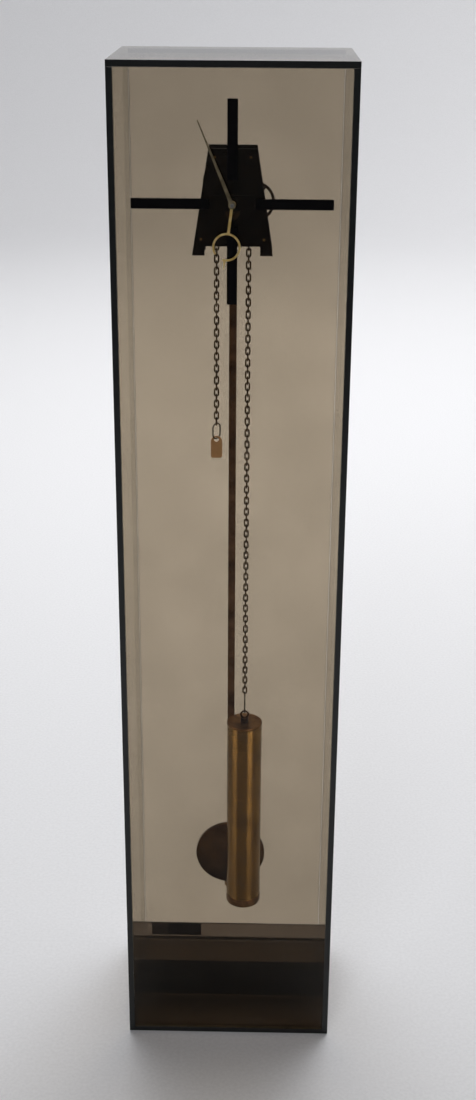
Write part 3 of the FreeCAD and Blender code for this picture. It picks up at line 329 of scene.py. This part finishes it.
dark_bronze = metal("dark_bronze_turned", "6A513A", "3E2E22", 0.36, 10, 0.6, 0.02)
rod_bronze = metal("bronzed_rod_strip", "8C6B50", "5E4634", 0.42, 30, 0.8, 0.02, (1, 1, 0.03))
iron = metal("cast_iron", "4A4846", "2E2C2A", 0.6, 8, 1.2, 0.15)
print("metals", [finish.name for finish in (
    bronzed_plate, wheel_brass, turned_brass, minute_brass, hour_brass, steel, chain_bronze,
    ring_bronze, dark_bronze, rod_bronze, iron)])

# %% [markdown]
# ## Refining a CAD shape
#
# A CAD mesh arrives as loose triangles with knife-sharp edges. A sheet of acrylic or a
# machined plate has a small arris that catches a line of light, so the visible copy is merged,
# its flat faces are joined and its sharp edges are rounded. The copy of a clear sheet is
# also drawn in by a twentieth of a millimetre, so that glued sheets don't share a face.

# %% Refine and place a piece
def centre_of(node):
    low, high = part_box(node)
    return (low + high) / 2


def place_piece(name, mesh, finish, body, replaced):
    """Makes a finished mesh a piece of the clock: it rides on a body and stands for CAD nodes."""
    mesh.materials.clear()
    mesh.materials.append(finish)
    mesh.shade_smooth()
    mesh.set_sharp_from_angle(angle=math.radians(50))
    piece = bpy.data.objects.new(name, mesh)
    scene.collection.objects.link(piece)
    # large flat faces keep straight normals beside their rounded arrises
    weighted = piece.modifiers.new("weighted_normals", "WEIGHTED_NORMAL")
    weighted.mode = "FACE_AREA"
    weighted.weight = 100
    weighted.keep_sharp = True
    graph = bpy.context.evaluated_depsgraph_get()
    piece.data = bpy.data.meshes.new_from_object(piece.evaluated_get(graph), depsgraph=graph)
    piece.data.name = name
    piece.modifiers.clear()
    bpy.data.meshes.remove(mesh)
    if body:
        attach(piece, body)
    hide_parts(*replaced)
    return piece


# faces that turn by less than this are one flat face, and edges that turn by more are rounded
FLAT_ANGLE = math.radians(1.0)
SHARP_ANGLE = math.radians(38)


def refined(node, name, finish, arris_mm, gap_mm=0.0):
    """A rounded copy of one CAD node, which then stands for it."""
    source = frame["nodes"][node]
    work = bmesh.new()
    work.from_mesh(source.data)
    bmesh.ops.remove_doubles(work, verts=work.verts, dist=1e-6)
    bmesh.ops.dissolve_limit(work, angle_limit=FLAT_ANGLE, verts=work.verts, edges=work.edges)
    if arris_mm:
        sharp = [edge for edge in work.edges
                 if len(edge.link_faces) == 2 and edge.calc_face_angle(0.0) > SHARP_ANGLE]
        bmesh.ops.bevel(work, geom=sharp, offset=arris_mm * MM, segments=2, profile=0.6,
                        affect="EDGES", clamp_overlap=True)
    if gap_mm:
        low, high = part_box(node)
        middle = (low + high) / 2
        size = high - low
        for vertex in work.verts:
            for axis in range(3):
                share = 1 - 2 * gap_mm * MM / size[axis]
                vertex.co[axis] = middle[axis] + (vertex.co[axis] - middle[axis]) * share
    mesh = bpy.data.meshes.new(name)
    work.to_mesh(mesh)
    work.free()
    return place_piece(name, mesh, finish, source["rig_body"], [node])


CASE_SHEETS = [
    ("side_panel_left", "left_side_sheet", smoked_side),
    ("side_panel_right", "right_side_sheet", smoked_side),
    ("top_panel", "top_sheet", smoked_top),
    ("bottom_panel", "floor_sheet", smoked_floor),
    ("front_panel", "front_sheet", smoked_face),
    ("back_panel", "back_sheet", smoked_face),
    ("lower_front_panel", "dark_lower_sheet", dark_sheet),
]
for node, name, finish in CASE_SHEETS:
    refined(node, name, finish, 0.4, 0.05)
print("case sheets", len(CASE_SHEETS))

# %% [markdown]
# ## The rail, the hour bars and the name plate
#
# The rail ties the sides of the base together. The four bars are cut from the same black
# sheet. The small plate behind the dark sheet is printed foil with no lettering: a pale square
# beside a blue-grey field, worn in spots.

# %% Black pieces and the name plate
refined("base_rail", "black_base_rail", black_bars, 0.5, 0.05)
refined("hour_bars", "black_hour_bars", black_bars, 0.35)

plate_low, plate_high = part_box("blank_name_plate")
name_plate, tree = new_material("printed_foil_plate")
place = add(tree, "ShaderNodeTexCoord")
along = add(tree, "ShaderNodeSeparateXYZ", {}, {0: place.outputs["Object"]})
share = add(tree, "ShaderNodeMapRange", {"From Min": plate_low.x, "From Max": plate_high.x},
            {"Value": along.outputs["X"]})
field = two_tones(tree, share.outputs["Result"], "B9B4B6", "4C4660", 0.30, 0.34)
foil = add(tree, "ShaderNodeTexNoise", {"Scale": 1 / (3 * MM), "Detail": 4.0},
           {"Vector": place.outputs["Object"]})
worn = add(tree, "ShaderNodeMix", {"data_type": "RGBA", "blend_type": "MULTIPLY", 0: 0.35},
           {6: field, 7: foil.outputs["Color"]})
foil_skin = add(tree, "ShaderNodeBsdfPrincipled", {"Metallic": 0.3},
                {"Base Color": worn.outputs[2],
                 "Roughness": spread(tree, foil.outputs["Fac"], 0.3, 0.55)})
add(tree, "ShaderNodeOutputMaterial", {}, {"Surface": foil_skin.outputs[0]})
refined("blank_name_plate", "foil_name_plate", name_plate, 0.15)
print("base and dial pieces ready")

# %% [markdown]
# ## Plates, hands and the bright parts of the movement
#
# The movement's plates are bronzed brass, brushed up and down. The hands are thin stampings:
# the minute hand has aged to grey-gold, while the ring of the hour hand is still bright.
# Small parts that are hidden between the plates keep their CAD mesh and take a finish.

# %% Movement
REFINED_PARTS = [
    ("front_plate", "front_movement_plate", bronzed_plate, 0.25),
    ("back_plate", "back_movement_plate", bronzed_plate, 0.25),
    ("motion_bridge", "motion_work_bridge", bronzed_plate, 0.2),
    ("pendulum_cock", "pendulum_cock_casting", turned_brass, 0.3),
    ("suspension_block", "suspension_post", steel, 0.3),
    ("suspension_hook", "suspension_clasp", dark_bronze, 0.3),
    ("minute_hand", "minute_needle", minute_brass, 0.12),
    ("hour_hand", "hour_ring_hand", hour_brass, 0.18),
    ("centre_nut", "dial_centre_nut", bronzed_plate, 0.4),
    ("hand_nut", "hand_fixing_nut", steel, 0.4),
    ("anchor", "steel_anchor", steel, 0.2),
    ("crutch", "steel_crutch", steel, 0.15),
    ("pendulum_rod", "pendulum_rod_strip", rod_bronze, 0.3),
    ("rating_nut", "rating_nut_knurled", turned_brass, 0.25),
]
for node, name, finish, arris in REFINED_PARTS:
    refined(node, name, finish, arris)

KEPT_FINISHES = {
    wheel_brass: ["centre_wheel", "intermediate_wheel", "great_wheel", "third_wheel",
                  "escape_wheel", "hour_wheel", "minute_wheel", "cannon_pinion", "ratchet_wheel",
                  "chain_sprocket"],
    turned_brass: ["centre_bush", "plate_pillars", "bridge_posts", "minute_wheel_stud"],
    steel: ["centre_arbor", "intermediate_arbor", "great_arbor", "third_arbor", "escape_arbor",
            "anchor_arbor", "click", "click_pin", "suspension_spring"],
    iron: ["weight_core"],
    ring_bronze: ["chain_hook", "pull_ring"],
    dark_bronze: ["weight_eye"],
}
for finish, nodes in KEPT_FINISHES.items():
    for node in nodes:
        for held in frame["nodes"][node].material_slots:
            held.material = finish
print("refined", len(REFINED_PARTS), "kept", sum(len(nodes) for nodes in KEPT_FINISHES.values()))

# %% [markdown]
# ## Slotted screws
#
# Six cheese-head screws hold the back plate and the cock. Somebody drove each of them home
# by hand, so no two slots point the same way. One screw is drawn from three primitives in
# Geometry Nodes, instanced on a point for each screw and given a random turn from a fixed seed.

# %% Screws in Geometry Nodes
def node_group(name, inputs):
    """A Geometry Nodes tree with its inputs and one output, and the node that brings them in."""
    tree = bpy.data.node_groups.new(name, "GeometryNodeTree")
    for label, kind, value in inputs:
        socket = tree.interface.new_socket(name=label, in_out="INPUT",
                                           socket_type="NodeSocket" + kind)
        if value is not None:
            socket.default_value = value
    tree.interface.new_socket(name="Geometry", in_out="OUTPUT",
                              socket_type="NodeSocketGeometry")
    return tree, add(tree, "NodeGroupInput")


def run_nodes(tree, name, points, values):
    """Runs a tree on some points and gives back a plain mesh."""
    seat = bpy.data.meshes.new(name + "_points")
    seat.from_pydata(points, [], [])
    holder = bpy.data.objects.new(name + "_holder", seat)
    scene.collection.objects.link(holder)
    modifier = holder.modifiers.new("nodes", "NODES")
    modifier.node_group = tree
    for socket in tree.interface.items_tree:
        if socket.in_out == "INPUT" and socket.name in values:
            modifier[socket.identifier] = values[socket.name]
    graph = bpy.context.evaluated_depsgraph_get()
    mesh = bpy.data.meshes.new_from_object(holder.evaluated_get(graph))
    mesh.name = name
    holder.modifiers.remove(modifier)
    bpy.data.objects.remove(holder)
    return mesh


screws, entry = node_group("slotted screws", [
    ("Points", "Geometry", None),
    ("Head radius", "Float", 3.5 * MM),
    ("Head height", "Float", 1.6 * MM),
    ("Shank radius", "Float", 1.45 * MM),
    ("Shank length", "Float", 4.0 * MM),
    ("Slot width", "Float", 0.9 * MM),
    ("Seed", "Int", 7),
    ("Finish", "Material", None),
])
head = add(screws, "GeometryNodeMeshCylinder", {"Vertices": 40},
           {"Radius": entry.outputs["Head radius"], "Depth": entry.outputs["Head height"]})
half_head = add(screws, "ShaderNodeMath", {"operation": "MULTIPLY", 1: 0.5},
                {0: entry.outputs["Head height"]})
lift = add(screws, "ShaderNodeCombineXYZ", {}, {"Z": half_head.outputs[0]})
head_up = add(screws, "GeometryNodeTransform", {}, {"Geometry": head.outputs["Mesh"],
                                                    "Translation": lift.outputs[0]})
# the slot's cutter is longer than the head is wide
slot_size = add(screws, "ShaderNodeCombineXYZ", {"X": 10 * MM},
                {"Y": entry.outputs["Slot width"], "Z": entry.outputs["Head height"]})
slot_box = add(screws, "GeometryNodeMeshCube", {}, {"Size": slot_size.outputs[0]})
slot_lift = add(screws, "ShaderNodeCombineXYZ", {}, {"Z": entry.outputs["Head height"]})
slot_up = add(screws, "GeometryNodeTransform", {}, {"Geometry": slot_box.outputs["Mesh"],
                                                    "Translation": slot_lift.outputs[0]})
slotted = add(screws, "GeometryNodeMeshBoolean", {"operation": "DIFFERENCE"},
              {"Mesh 1": head_up.outputs[0], "Mesh 2": slot_up.outputs[0]})
shank = add(screws, "GeometryNodeMeshCylinder", {"Vertices": 24},
            {"Radius": entry.outputs["Shank radius"], "Depth": entry.outputs["Shank length"]})
half_shank = add(screws, "ShaderNodeMath", {"operation": "MULTIPLY", 1: -0.5},
                 {0: entry.outputs["Shank length"]})
sink = add(screws, "ShaderNodeCombineXYZ", {}, {"Z": half_shank.outputs[0]})
shank_down = add(screws, "GeometryNodeTransform", {}, {"Geometry": shank.outputs["Mesh"],
                                                       "Translation": sink.outputs[0]})
screw = add(screws, "GeometryNodeJoinGeometry")
screws.links.new(slotted.outputs["Mesh"], screw.inputs[0])
screws.links.new(shank_down.outputs[0], screw.inputs[0])
driven = add(screws, "GeometryNodeInstanceOnPoints", {"Rotation": (math.radians(-90), 0, 0)},
             {"Points": entry.outputs["Points"], "Instance": screw.outputs[0]})
turn = add(screws, "FunctionNodeRandomValue", {"data_type": "FLOAT", 3: math.pi},
           {"Seed": entry.outputs["Seed"]})
turn_vector = add(screws, "ShaderNodeCombineXYZ", {}, {"Z": turn.outputs[1]})
turned = add(screws, "GeometryNodeRotateInstances", {"Local Space": True},
             {"Instances": driven.outputs[0], "Rotation": turn_vector.outputs[0]})
solid = add(screws, "GeometryNodeRealizeInstances", {}, {0: turned.outputs[0]})
coated = add(screws, "GeometryNodeSetMaterial", {}, {"Geometry": solid.outputs[0],
                                                     "Material": entry.outputs["Finish"]})
add(screws, "NodeGroupOutput", {}, {0: coated.outputs[0]})

# four screws sit on the back plate, and two on the foot of the cock
plate_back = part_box("back_plate")[1].y
cock_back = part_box("movement_screws")[1].y - 1.6 * MM
cock_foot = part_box("pendulum_cock")[0].z
PILLAR_SEATS = [(-0.026, 1.537), (0.026, 1.537), (-0.046, 1.420), (0.046, 1.420)]
COCK_SEATS = [(-0.0105, cock_foot + 0.006), (0.0105, cock_foot + 0.006)]
seats = [(x, plate_back, z) for x, z in PILLAR_SEATS]
seats += [(x, cock_back, z) for x, z in COCK_SEATS]
screw_mesh = run_nodes(screws, "slotted_screws", seats, {"Seed": 7, "Finish": steel})
slotted_screws = place_piece("slotted_screws", screw_mesh, steel, "case", ["movement_screws"])
print("screws", len(seats), "faces", len(slotted_screws.data.polygons))

# %% [markdown]
# ## The chain
#
# A clock chain is a row of oval wire links, each turned a quarter against the next. The two
# hanging runs and the links over the sprocket are one rule with different numbers: a link is a
# rounded rectangle swept with a circle, the links step down by the pitch, and over the sprocket
# they turn about its axis instead. The links hang with a small random sway. The hanging runs
# ride on no body, while the links over the sprocket ride on the case.

# %% Chain in Geometry Nodes
CHAIN_PITCH = 9.3 * MM
WEIGHT_LINKS = 83
PULL_LINKS = 33
OVER_LINKS = 8

chain, entry = node_group("clock chain", [
    ("Points", "Geometry", None),
    ("Links", "Int", OVER_LINKS),
    ("Drop", "Float", CHAIN_PITCH),
    ("Turn", "Float", 0.0),
    ("Reach", "Float", 0.0),
    ("First turned", "Float", 0.0),
    ("Link height", "Float", 11.95 * MM),
    ("Link width", "Float", 5.8 * MM),
    ("Wire radius", "Float", 1.25 * MM),
    ("Sway", "Float", 0.05),
    ("Seed", "Int", 3),
    ("Centre", "Vector", None),
    ("Finish", "Material", None),
])
corner = add(chain, "ShaderNodeMath", {"operation": "MULTIPLY", 1: 0.42},
             {0: entry.outputs["Link width"]})
outline = add(chain, "GeometryNodeCurvePrimitiveQuadrilateral", {"mode": "RECTANGLE"},
              {"Width": entry.outputs["Link width"], "Height": entry.outputs["Link height"]})
rounded = add(chain, "GeometryNodeFilletCurve", {"mode": "POLY", "Count": 4},
              {"Curve": outline.outputs["Curve"], "Radius": corner.outputs[0]})
wire = add(chain, "GeometryNodeCurvePrimitiveCircle", {"mode": "RADIUS", "Resolution": 7},
           {"Radius": entry.outputs["Wire radius"]})
link = add(chain, "GeometryNodeCurveToMesh", {},
           {"Curve": rounded.outputs["Curve"], "Profile Curve": wire.outputs["Curve"]})
half_drop = add(chain, "ShaderNodeMath", {"operation": "MULTIPLY", 1: -0.5},
                {0: entry.outputs["Drop"]})
down = add(chain, "ShaderNodeMath", {"operation": "MULTIPLY", 1: -1.0},
           {0: entry.outputs["Drop"]})
start = add(chain, "ShaderNodeCombineXYZ", {},
            {"X": entry.outputs["Reach"], "Z": half_drop.outputs[0]})
step = add(chain, "ShaderNodeCombineXYZ", {}, {"Z": down.outputs[0]})
row = add(chain, "GeometryNodeMeshLine", {"mode": "OFFSET"},
          {"Count": entry.outputs["Links"], "Start Location": start.outputs[0],
           "Offset": step.outputs[0]})
number = add(chain, "GeometryNodeInputIndex")
shifted = add(chain, "ShaderNodeMath", {"operation": "ADD"},
              {0: number.outputs[0], 1: entry.outputs["First turned"]})
parity = add(chain, "ShaderNodeMath", {"operation": "MODULO", 1: 2.0}, {0: shifted.outputs[0]})
quarter = add(chain, "ShaderNodeMath", {"operation": "MULTIPLY", 1: math.pi / 2},
              {0: parity.outputs[0]})
least = add(chain, "ShaderNodeMath", {"operation": "MULTIPLY", 1: -1.0},
            {0: entry.outputs["Sway"]})
sway = add(chain, "FunctionNodeRandomValue", {"data_type": "FLOAT"},
           {2: least.outputs[0], 3: entry.outputs["Sway"], "Seed": entry.outputs["Seed"]})
heading = add(chain, "ShaderNodeMath", {"operation": "ADD"},
              {0: quarter.outputs[0], 1: sway.outputs[1]})
attitude = add(chain, "ShaderNodeCombineXYZ", {"X": math.pi / 2}, {"Z": heading.outputs[0]})
hung = add(chain, "GeometryNodeInstanceOnPoints", {},
           {"Points": row.outputs["Mesh"], "Instance": link.outputs["Mesh"],
            "Rotation": attitude.outputs[0]})
middle = add(chain, "ShaderNodeMath", {"operation": "ADD", 1: 0.5}, {0: number.outputs[0]})
swing = add(chain, "ShaderNodeMath", {"operation": "MULTIPLY"},
            {0: middle.outputs[0], 1: entry.outputs["Turn"]})
swing_vector = add(chain, "ShaderNodeCombineXYZ", {}, {"Y": swing.outputs[0]})
wrapped = add(chain, "GeometryNodeRotateInstances", {"Local Space": False},
              {"Instances": hung.outputs[0], "Rotation": swing_vector.outputs[0]})
solid = add(chain, "GeometryNodeRealizeInstances", {}, {0: wrapped.outputs[0]})
moved = add(chain, "GeometryNodeTransform", {}, {"Geometry": solid.outputs[0],
                                                 "Translation": entry.outputs["Centre"]})
coated = add(chain, "GeometryNodeSetMaterial", {}, {"Geometry": moved.outputs[0],
                                                    "Material": entry.outputs["Finish"]})
add(chain, "NodeGroupOutput", {}, {0: coated.outputs[0]})

# the links over the sprocket fill half a turn, so they set how far the runs hang from its axis
sprocket_axis = centre_of("chain_sprocket")
CHAIN_REACH = OVER_LINKS * CHAIN_PITCH / math.pi
weight_run = run_nodes(chain, "weight_chain", [], {
    "Links": WEIGHT_LINKS, "Reach": CHAIN_REACH, "Centre": sprocket_axis,
    "Finish": chain_bronze, "Seed": 3})
pull_run = run_nodes(chain, "pull_chain", [], {
    "Links": PULL_LINKS, "Reach": -CHAIN_REACH, "First turned": 1.0, "Centre": sprocket_axis,
    "Finish": chain_bronze, "Seed": 5})
over_run = run_nodes(chain, "sprocket_chain", [], {
    "Links": OVER_LINKS, "Drop": 0.0, "Turn": -math.pi / OVER_LINKS, "First turned": 1.0,
    "Sway": 0.0, "Reach": CHAIN_REACH * math.cos(math.pi / (2 * OVER_LINKS)),
    "Centre": sprocket_axis, "Finish": chain_bronze})
print("chain faces", len(weight_run.polygons), len(pull_run.polygons), len(over_run.polygons))

# %% Hang the chain
def hang(name, run, node):
    """Places a hanging run, on no body, and gives the height of the foot of its CAD node."""
    piece = place_piece(name, run, chain_bronze, None, [node])
    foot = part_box(node)[0].z
    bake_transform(piece)
    return foot


chain_foot = hang("weight_chain", weight_run, "chain_weight_side")
pull_foot = hang("pull_chain", pull_run, "chain_pull_side")
place_piece("sprocket_chain", over_run, chain_bronze, "case", ["chain_over_sprocket"])
print("weight chain ends at", round(chain_foot, 4), "pull chain at", round(pull_foot, 4))

# %% [markdown]
# ## The weight
#
# The weight is a thin brass tube, polished round on a lathe, over an iron core, with dark caps.
# A turned surface spreads a lamp up and down but not sideways, so the lamps at either hand draw
# two bright upright bands on it. Its shapes are turned in the script as on a lathe, from a
# profile of radius and height, with two fine grooves in the bottom cap.

# %% Weight turned on a lathe
def lathe(name, profile, centre_x, centre_y, steps=96):
    """Turns a closed profile of (radius, height) round an upright axis."""
    work = bmesh.new()
    rings = []
    for radius, height in profile:
        if radius < 1e-6:
            rings.append([work.verts.new((centre_x, centre_y, height))])
            continue
        ring = []
        for index in range(steps):
            angle = 2 * math.pi * index / steps
            ring.append(work.verts.new((centre_x + radius * math.cos(angle),
                                        centre_y + radius * math.sin(angle), height)))
        rings.append(ring)
    for first, second in zip(rings, rings[1:] + rings[:1]):
        if len(first) == 1 and len(second) == 1:
            continue
        for index in range(steps):
            following = (index + 1) % steps
            corners = [first[index % len(first)], first[following % len(first)],
                       second[following % len(second)], second[index % len(second)]]
            work.faces.new(list(dict.fromkeys(corners)))
    bmesh.ops.recalc_face_normals(work, faces=work.faces)
    mesh = bpy.data.meshes.new(name)
    work.to_mesh(mesh)
    work.free()
    return mesh


tube_low, tube_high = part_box("weight_tube")
weight_x = (tube_low.x + tube_high.x) / 2
weight_y = (tube_low.y + tube_high.y) / 2
tube_radius = (tube_high.x - tube_low.x) / 2


def place_turned(name, profile, finish, node):
    mesh = lathe(name, profile, weight_x, weight_y)
    return place_piece(name, mesh, finish, "weight", [node])


weight_brass = metal("turned_satin_brass", "8E7144", "745C37", 0.24, 40, 0.7, 0.004,
                     (0.02, 0.02, 1), anisotropic=0.9, turned=0.25)
tube_profile = [(tube_radius, tube_low.z), (tube_radius, tube_high.z),
                (tube_radius - 1 * MM, tube_high.z), (tube_radius - 1 * MM, tube_low.z)]
place_turned("weight_shell", tube_profile, weight_brass, "weight_tube")

top_low, top_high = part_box("weight_top_cap")
cap_radius = (top_high.x - top_low.x) / 2
top_profile = [(0, top_low.z), (cap_radius - 0.5 * MM, top_low.z),
               (cap_radius, top_low.z + 0.5 * MM), (cap_radius, top_high.z - 1.0 * MM),
               (cap_radius - 0.3 * MM, top_high.z - 0.3 * MM),
               (cap_radius - 1.0 * MM, top_high.z), (cap_radius - 4.0 * MM, top_high.z),
               (cap_radius - 4.6 * MM, top_high.z - 0.5 * MM), (0, top_high.z - 0.5 * MM)]
cap_bronze = metal("turned_bronzed_cap", "7A5D3F", "513B28", 0.34, 14, 0.5, 0.02,
                   axis=((weight_x, weight_y, 0), (1, 1, 0)))
place_turned("weight_top_disc", top_profile, cap_bronze, "weight_top_cap")

foot_low, foot_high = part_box("weight_bottom_cap")
foot_profile = [(0, foot_low.z), (cap_radius - 1.5 * MM, foot_low.z),
                (cap_radius - 0.45 * MM, foot_low.z + 0.45 * MM),
                (cap_radius, foot_low.z + 1.5 * MM)]
for groove in (4.5 * MM, 9.5 * MM):
    foot_profile += [(cap_radius, foot_low.z + groove),
                     (cap_radius - 0.5 * MM, foot_low.z + groove + 0.4 * MM),
                     (cap_radius, foot_low.z + groove + 0.8 * MM)]
foot_profile += [(cap_radius, foot_high.z - 0.6 * MM), (cap_radius - 0.6 * MM, foot_high.z),
                 (0, foot_high.z)]
place_turned("weight_foot_cap", foot_profile, cap_bronze, "weight_bottom_cap")
print("weight radius", round(tube_radius, 4), "caps", round(cap_radius, 4))

# %% [markdown]
# ## The bob and the tag
#
# The bob is a lens of bronzed brass, with the rings of the lathe about its own axis. The tag on
# the pull end is stained copper with a painted highlight: its middle is painted bright, fading to
# the darker copper of its rim.

# %% Bob and tag
bob_centre = centre_of("pendulum_bob")
bob_bronze = metal("bronzed_lens", "6B5036", "463424", 0.38, 45, 0.8, 0.02,
                   axis=(tuple(bob_centre), (1, 0, 1)))
refined("pendulum_bob", "pendulum_lens", bob_bronze, 0.3)

# the painted highlight in the middle of the tag is an oval, and 1 is its edge
TAG_HIGHLIGHT_OVAL = (1 / (8.8 * MM), 0, 1 / (18 * MM))
tag_copper, tree = new_material("copper_tag_painted_highlight")
place = add(tree, "ShaderNodeTexCoord")
centred = add(tree, "ShaderNodeVectorMath",
              {"operation": "SUBTRACT", 1: tuple(centre_of("pull_tag"))},
              {0: place.outputs["Object"]})
scaled = add(tree, "ShaderNodeVectorMath", {"operation": "MULTIPLY", 1: TAG_HIGHLIGHT_OVAL},
             {0: centred.outputs["Vector"]})
reach = add(tree, "ShaderNodeVectorMath", {"operation": "LENGTH"}, {0: scaled.outputs["Vector"]})
stain = add(tree, "ShaderNodeTexNoise", {"Scale": 1 / (3 * MM), "Detail": 4.0},
            {"Vector": place.outputs["Object"]})
# the painted highlight fades from the middle of the oval to the rim, and the stains break up its
# edge
highlight_and_stains = add(tree, "ShaderNodeMath", {"operation": "MULTIPLY_ADD", 1: 0.5},
           {0: stain.outputs["Fac"], 2: reach.outputs["Value"]})
tag_tone = two_tones(tree, highlight_and_stains.outputs[0], "F4C592", "B5804C", 1.05, 1.6)
dent = add(tree, "ShaderNodeBump", {"Strength": 0.3, "Distance": 0.05 * MM},
           {"Height": stain.outputs["Fac"]})
tag_skin = add(tree, "ShaderNodeBsdfPrincipled", {"Metallic": 0.15},
               {"Base Color": tag_tone, "Normal": dent.outputs["Normal"],
                "Roughness": spread(tree, stain.outputs["Fac"], 0.3, 0.5)})
add(tree, "ShaderNodeOutputMaterial", {}, {"Surface": tag_skin.outputs[0]})
refined("pull_tag", "worn_pull_tag", tag_copper, 0.3)
print("bob centre", [round(v, 4) for v in bob_centre])

# %% [markdown]
# ## Floor and light
#
# The clock stands on a wide sweep of pale paper that climbs to a far wall all round, so that it
# has the same quiet ground from every side. A broad lamp hangs over the paper behind the clock
# and leaves the foreground a shade darker. Two tall strips stand low on either hand and light
# the turned weight alone, so that they draw its bright bands and leave the clear sheets quiet.

# %% Paper sweep
def sweep_mesh(flat, bend, wall, steps=96, arc=12):
    """A round floor that curves up into a wall."""
    profile = [(0.0, 0.0), (0.6, 0.0), (1.5, 0.0), (flat * 0.5, 0.0), (flat, 0.0)]
    for index in range(1, arc + 1):
        angle = math.pi / 2 * index / arc
        profile.append((flat + bend * math.sin(angle), bend * (1 - math.cos(angle))))
    profile.append((flat + bend, wall))
    work = bmesh.new()
    rings = []
    for radius, height in profile:
        if radius == 0.0:
            rings.append([work.verts.new((0, 0, height))])
            continue
        rings.append([work.verts.new((radius * math.cos(2 * math.pi * k / steps),
                                      radius * math.sin(2 * math.pi * k / steps), height))
                      for k in range(steps)])
    for first, second in zip(rings, rings[1:]):
        for index in range(steps):
            following = (index + 1) % steps
            corners = [first[index % len(first)], second[index], second[following],
                       first[following % len(first)]]
            work.faces.new(list(dict.fromkeys(corners)))
    mesh = bpy.data.meshes.new("paper_sweep")
    work.to_mesh(mesh)
    work.free()
    mesh.shade_smooth()
    return mesh


paper, tree = new_material("matt_paper")
place = add(tree, "ShaderNodeTexCoord")
# fibres, drawn about 6 mm apart because real ones are too fine to show
fibre = add(tree, "ShaderNodeTexNoise", {"Scale": 1 / (6 * MM), "Detail": 4.0},
            {"Vector": place.outputs["Object"]})
paper_tone = two_tones(tree, fibre.outputs["Fac"], "E4E4E6", "ECECEE", 0.3, 0.7)
paper_skin = add(tree, "ShaderNodeBsdfPrincipled", {"Roughness": 0.75, "Specular IOR Level": 0.25},
                 {"Base Color": paper_tone})
add(tree, "ShaderNodeOutputMaterial", {}, {"Surface": paper_skin.outputs[0]})
sweep = bpy.data.objects.new("paper_sweep", sweep_mesh(7.5, 2.5, 6.0))
sweep.data.materials.append(paper)
sweep.location.z = -0.5 * MM
scene.collection.objects.link(sweep)
print("paper sweep", len(sweep.data.polygons), "faces")

# %% Lamps
def soft_box(name, place_at, aim_at, width, height, watts):
    lamp_data = bpy.data.lights.new(name, "AREA")
    lamp_data.shape = "RECTANGLE"
    lamp_data.size = width
    lamp_data.size_y = height
    lamp_data.energy = watts
    lamp = bpy.data.objects.new(name, lamp_data)
    lamp.location = place_at
    lamp.rotation_euler = (Vector(aim_at) - Vector(place_at)).to_track_quat("-Z", "Y").to_euler()
    scene.collection.objects.link(lamp)
    return lamp


soft_box("overhead_bank", (0.3, 3.3, 5.5), (0.3, 3.3, 0.0), 5.0, 5.0, 345)
soft_box("far_right_bank", (4.0, 7.0, 5.0), (4.0, 7.0, 0.0), 3.0, 3.0, 90)
turned_metal = bpy.data.collections.new("turned_metal")
for name in ("weight_shell", "weight_top_disc", "weight_foot_cap"):
    turned_metal.objects.link(bpy.data.objects[name])
WEIGHT_MIDDLE = (0.0, 0.0, 0.45)
for name, stand in (("left_strip", (-1.23, -0.73, 0.75)), ("right_strip", (0.87, -1.20, 0.75))):
    strip = soft_box(name, stand, WEIGHT_MIDDLE, 0.8, 1.5, 30)
    strip.visible_camera = False
    strip.light_linking.receiver_collection = turned_metal
# a front lamp high up gives the hands and the tag their colour
soft_box("front_lamp", (-0.6, -2.6, 3.4), (0.0, 0.0, 1.2), 0.9, 0.9, 22)
world = bpy.data.worlds.new("studio_air")
world.use_nodes = True
background = world.node_tree.nodes["Background"]
background.inputs["Color"].default_value = colour("C9CBD0")
background.inputs["Strength"].default_value = 0.12
scene.world = world
print("lamps", len(bpy.data.lights))
